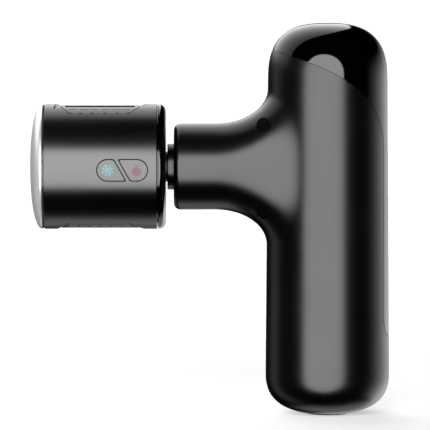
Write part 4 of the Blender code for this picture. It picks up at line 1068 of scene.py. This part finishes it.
def build_keys():
    for label, material in (("cold", "cold_ink"), ("heat", "heat_ink")):
        body = f"{label}_key"
        key = prism(key_outline(label, -KEY_GAP / 2.0), 1, KEY_FRONT_Y, KEY_BACK_Y)
        key = to_object(f"{label}_key_cap", key)
        boolean(key, "INTERSECT", on_neck(rod(HEAD_RADIUS, -100.0, -60.0, 256)))
        bevel(key, 0.08, 2, 50.0)
        finished(key, FINISH["head_black"], body, (f"{label}_button",))
        shapes = snow_shapes() if label == "cold" else flame_shapes()
        mark = to_object(f"{label}_mark", wrapped(shapes, KEY_CENTRES[label]))
        finished(mark, FINISH[material], body, weighted=False)


def snow_shapes():
    """Eight arms, each with a pair of side twigs, as strips given by two ends and a width."""
    arm_start, arm_end, arm_width = SNOW_ARM
    twig_start, twig_length, twig_width = SNOW_TWIG
    strips = []
    for arm in range(8):
        turn = math.radians(45.0 * arm + 22.5)
        along = Vector((math.cos(turn), math.sin(turn)))
        strips.append((along * arm_start, along * arm_end, arm_width))
        for way in (-1, 1):
            twig = turn + way * math.radians(SNOW_TWIG_ANGLE)
            start = along * twig_start
            end = start + Vector((math.cos(twig), math.sin(twig))) * twig_length
            strips.append((start, end, twig_width))
    shapes = []
    for start, end, width in strips:
        along = (end - start).normalized()
        across = Vector((-along.y, along.x)) * width / 2.0
        tip = along * width / 2.0
        shapes.append([start - across, end - across, end + tip, end + across, start + across])
    return shapes


def flame_shapes():
    """A plain flame with two tongues."""
    outer = bezier((0.0, -2.1), (1.9, -2.1), (2.2, 0.1), (0.9, 1.0), 12)
    outer += bezier((0.9, 1.0), (0.8, 0.5), (0.6, 0.3), (0.35, 0.2), 4)[1:]
    outer += bezier((0.35, 0.2), (0.6, 1.2), (0.1, 1.9), (-0.5, 2.3), 8)[1:]
    outer += bezier((-0.5, 2.3), (-0.4, 1.2), (-1.7, 0.6), (-1.75, -0.5), 10)[1:]
    outer += bezier((-1.75, -0.5), (-1.75, -1.6), (-0.9, -2.1), (0.0, -2.1), 8)[1:-1]
    return [[Vector(point) for point in outer]]


def wrapped(shapes, centre_x):
    """Thin raised shapes laid on the drum's side round a key's centre."""
    outer = HEAD_RADIUS + MARK_RISE
    bm = bmesh.new()
    for number, shape in enumerate(shapes):
        lift = 0.002 * (number % 3)
        rims = []
        for radius in (outer - MARK_DEPTH, outer + lift):
            rim = []
            for point in shape:
                angle = point.y / HEAD_RADIUS
                place = (centre_x + point.x, -radius * math.cos(angle), NECK_Z + radius * math.sin(angle))
                rim.append(bm.verts.new([value * MM for value in place]))
            rims.append(rim)
        bm.faces.new(rims[0])
        bm.faces.new(list(reversed(rims[1])))
        count = len(shape)
        for index in range(count):
            after = (index + 1) % count
            bm.faces.new((rims[0][after], rims[0][index], rims[1][index], rims[1][after]))
    bmesh.ops.recalc_face_normals(bm, faces=bm.faces)
    return bm


def build_rear_cap():
    """The cap behind the drum, with a ring groove round its bore."""
    front = low_mm("rear_cap").x
    seam, floor, groove = HOUSING_REAR + SEAM, HEAD_REAR - CAP_WALL, HEAD_REAR - CAP_RING_DEPTH
    inner, outer = CAP_SPIGOT
    corner = arc((HEAD_REAR - CAP_EDGE, HEAD_RADIUS - CAP_EDGE), CAP_EDGE, 90.0, 0.0, 14)
    outline = [(inner, front), (outer, front), (outer, seam)]
    outline += [(HEAD_RADIUS - 0.45, seam), (HEAD_RADIUS - 0.12, seam + 0.2)]
    outline += [(radius, x) for x, radius in corner]
    outline += [(11.4, HEAD_REAR), (11.0, groove), (10.4, groove), (10.0, HEAD_REAR)]
    outline += [(CAP_BORE_RADIUS + 0.4, HEAD_REAR), (CAP_BORE_RADIUS, HEAD_REAR - 0.4)]
    outline += [(CAP_BORE_RADIUS, floor), (inner, floor)]
    lathe("drum_cap", outline, "cap_black", "head", ("rear_cap",), 192)


def build_plug():
    """The plug with its flange, a shallow relief and the groove that holds its rubber ring."""
    front, tip = low_mm("head_plug").x, high_mm("head_plug").x
    body, rear = PLUG_BODY_RADIUS, front + FLANGE_THICKNESS
    relief, relief_start, relief_front, relief_rear, relief_end = PLUG_RELIEF
    groove, groove_front, groove_rear = PLUG_GROOVE
    outline = [
        (WIRE_BORE_RADIUS, tip), (WIRE_BORE_RADIUS, front), (FLANGE_RADIUS, front), (FLANGE_RADIUS, rear),
        (body, rear), (body, relief_start), (body - relief, relief_front), (body - relief, relief_rear),
        (body, relief_end), (body, groove_front), (groove, groove_front), (groove, groove_rear),
        (body, groove_rear), (body, PLUG_TAPER_X), (PLUG_TIP_RADIUS, tip),
    ]
    lathe("socket_plug", rounded(outline, 0.2), "matte_black", "head", ("head_plug",), 96)
    ring_x, ring_radius, thickness = O_RING
    ring = [(x, y) for y, x in arc((ring_x, ring_radius), thickness, 0.0, 360.0, 20)[:-1]]
    lathe("plug_ring", ring, "rubber", "head", ("plug_o_ring",), 96)


# ---- inner parts ----


def finish_inner_parts():
    """Every CAD part gets the finish of its slot. The inner ones stay, later pieces replace the others."""
    for part in frame["record"]["subparts"]:
        item = frame["nodes"][part["node"]]
        item.data.materials.clear()
        item.data.materials.append(FINISH[part["material_slot"]])


# ---- the stage ----


CAMERA_DISTANCE = 2000.0
CAMERA_AZIMUTH = 0.0
CAMERA_ELEVATION = 4.0
VIEW_CENTRE = (-42.2, 0.0, 74.7)
VIEW_WIDTH = 161.25

# Soft boxes: their brightness, and the directions they fill.
FRONT_LIGHT = 7.4
FRONT_CENTRE = (-8.5, -0.5)
FRONT_HALF_SIZE = (38.5, 36.5)
ABOVE_SLOPE = 0.12
ABOVE_LEAN = 0.35
ABOVE_CORNER = 0.2
ABOVE_LIGHT = (0.8, 2.1)
BACK_LIGHT = 2.6
LEFT_LIGHT = 0.36
LEFT_AZIMUTH = (-130.0, -106.0)
LEFT_ELEVATION = (-60.0, 8.0)
BELOW_LIGHT = 0.85
BELOW_OVER = (-136.0, -106.0)
BELOW_X = (-0.25, 0.5)
FLOOR_GLOW = 0.45


def build_camera():
    data = bpy.data.cameras.new("camera")
    data.sensor_width = 36.0
    data.lens = 36.0 * CAMERA_DISTANCE / VIEW_WIDTH
    data.clip_start = 0.05
    data.clip_end = 50.0
    camera = bpy.data.objects.new("camera", data)
    turn, lift = math.radians(CAMERA_AZIMUTH), math.radians(CAMERA_ELEVATION)
    back = Vector((math.sin(turn) * math.cos(lift), -math.cos(turn) * math.cos(lift), math.sin(lift)))
    camera.location = (Vector(VIEW_CENTRE) + back * CAMERA_DISTANCE) * MM
    camera.rotation_mode = "QUATERNION"
    camera.rotation_quaternion = (-back).to_track_quat("-Z", "Y")
    bpy.context.scene.collection.objects.link(camera)
    bpy.context.scene.camera = camera


def build_studio():
    """Soft boxes as seen from the object, by the direction they lie in, in front of a white background."""
    world = bpy.data.worlds.new("studio")
    bpy.context.scene.world = world
    world.use_nodes = True
    kit = Nodes(world.node_tree)
    direction = kit.add("TexCoord").outputs["Generated"]
    x, y, z = kit.add("SeparateXYZ", {"Vector": direction}).outputs
    times = kit.times
    azimuth = kit.math("DEGREES", kit.math("ARCTAN2", x, times(y, -1.0)))
    elevation = kit.math("DEGREES", kit.math("ARCSINE", z))
    over = kit.math("DEGREES", kit.math("ARCTAN2", z, times(y, -1.0)))

    def window(value, low, high, soft):
        rise = kit.ramp(value, low - soft, low + soft)
        fall = kit.ramp(value, high - soft, high + soft, 1.0, 0.0)
        return times(rise, fall)

    across = times(kit.math("SUBTRACT", azimuth, FRONT_CENTRE[0]), 1.0 / FRONT_HALF_SIZE[0])
    up = times(kit.math("SUBTRACT", elevation, FRONT_CENTRE[1]), 1.0 / FRONT_HALF_SIZE[1])
    spot = kit.math("SQRT", kit.math("ADD", times(across, across), times(up, up)))
    front = times(kit.ramp(spot, 0.95, 1.05, 1.0, 0.0), FRONT_LIGHT)

    along_box = kit.math("ADD", y, times(z, ABOVE_SLOPE))
    beside_box = kit.math("SUBTRACT", times(z, ABOVE_LEAN), x)
    corner = kit.math("SUBTRACT", times(along_box, beside_box), times(times(z, z), ABOVE_CORNER))
    above = times(kit.ramp(corner, -0.06, -0.04), kit.ramp(beside_box, 0.0, 0.02))
    above = times(above, kit.ramp(y, 0.0, 0.8, *ABOVE_LIGHT, smooth=False))
    above = times(above, times(kit.ramp(z, 0.08, 0.22), kit.ramp(y, 0.97, 0.99, 1.0, 0.0)))

    back = times(kit.ramp(azimuth, 76.0, 130.0), BACK_LIGHT)
    back = times(back, kit.ramp(azimuth, 140.0, 170.0, 1.0, 0.4))
    band = times(kit.ramp(elevation, -46.0, -30.0), kit.ramp(elevation, -20.0, 20.0, 1.0, 0.0))
    back = times(back, band)
    left = times(window(azimuth, *LEFT_AZIMUTH, 8.0), LEFT_LIGHT)
    left = times(left, window(elevation, *LEFT_ELEVATION, 8.0))
    below = times(times(window(over, *BELOW_OVER, 9.0), BELOW_LIGHT), window(x, *BELOW_X, 0.12))

    total = front
    for part in (above, back, left, below):
        total = kit.math("MAXIMUM", total, part)
    seen = kit.add("LightPath").outputs["Is Camera Ray"]
    shown = kit.add("Background", {"Color": rgba((1.0, 1.0, 1.0)), "Strength": 1.0})
    lit = world.node_tree.nodes["Background"]
    kit.feed(lit.inputs["Strength"], total)
    lit.inputs["Color"].default_value = rgba((1.0, 1.0, 1.0))
    mixed = kit.add("MixShader", {0: seen, 1: lit.outputs[0], 2: shown.outputs[0]})
    kit.feed(world.node_tree.nodes["World Output"].inputs["Surface"], mixed.outputs[0])


def build_floor():
    bm = bmesh.new()
    bmesh.ops.create_circle(bm, cap_ends=True, radius=6.0, segments=96)
    floor = to_object("floor", bm)
    made, kit, place = new_material("pale_floor")
    shade = kit.noise(place, 3.0, 2.0)
    kit.dress({
        "Base Color": kit.mix(shade, (0.86, 0.86, 0.86), (0.84, 0.84, 0.84)), "Roughness": 0.9,
        "Emission Color": rgba((1.0, 1.0, 1.0)), "Emission Strength": FLOOR_GLOW,
    })
    floor.data.materials.append(made)
    floor.visible_glossy = False


bpy.context.scene.view_settings.view_transform = "Standard"
build_camera()
build_studio()
build_floor()
finish_inner_parts()
build_skin()
build_screw_plugs()
build_base_foot()
build_dust_wiper()
build_indicator()
build_power_key()
build_port()
build_sleeve()
build_face()
build_housing()
build_keys()
build_rear_cap()
build_plug()
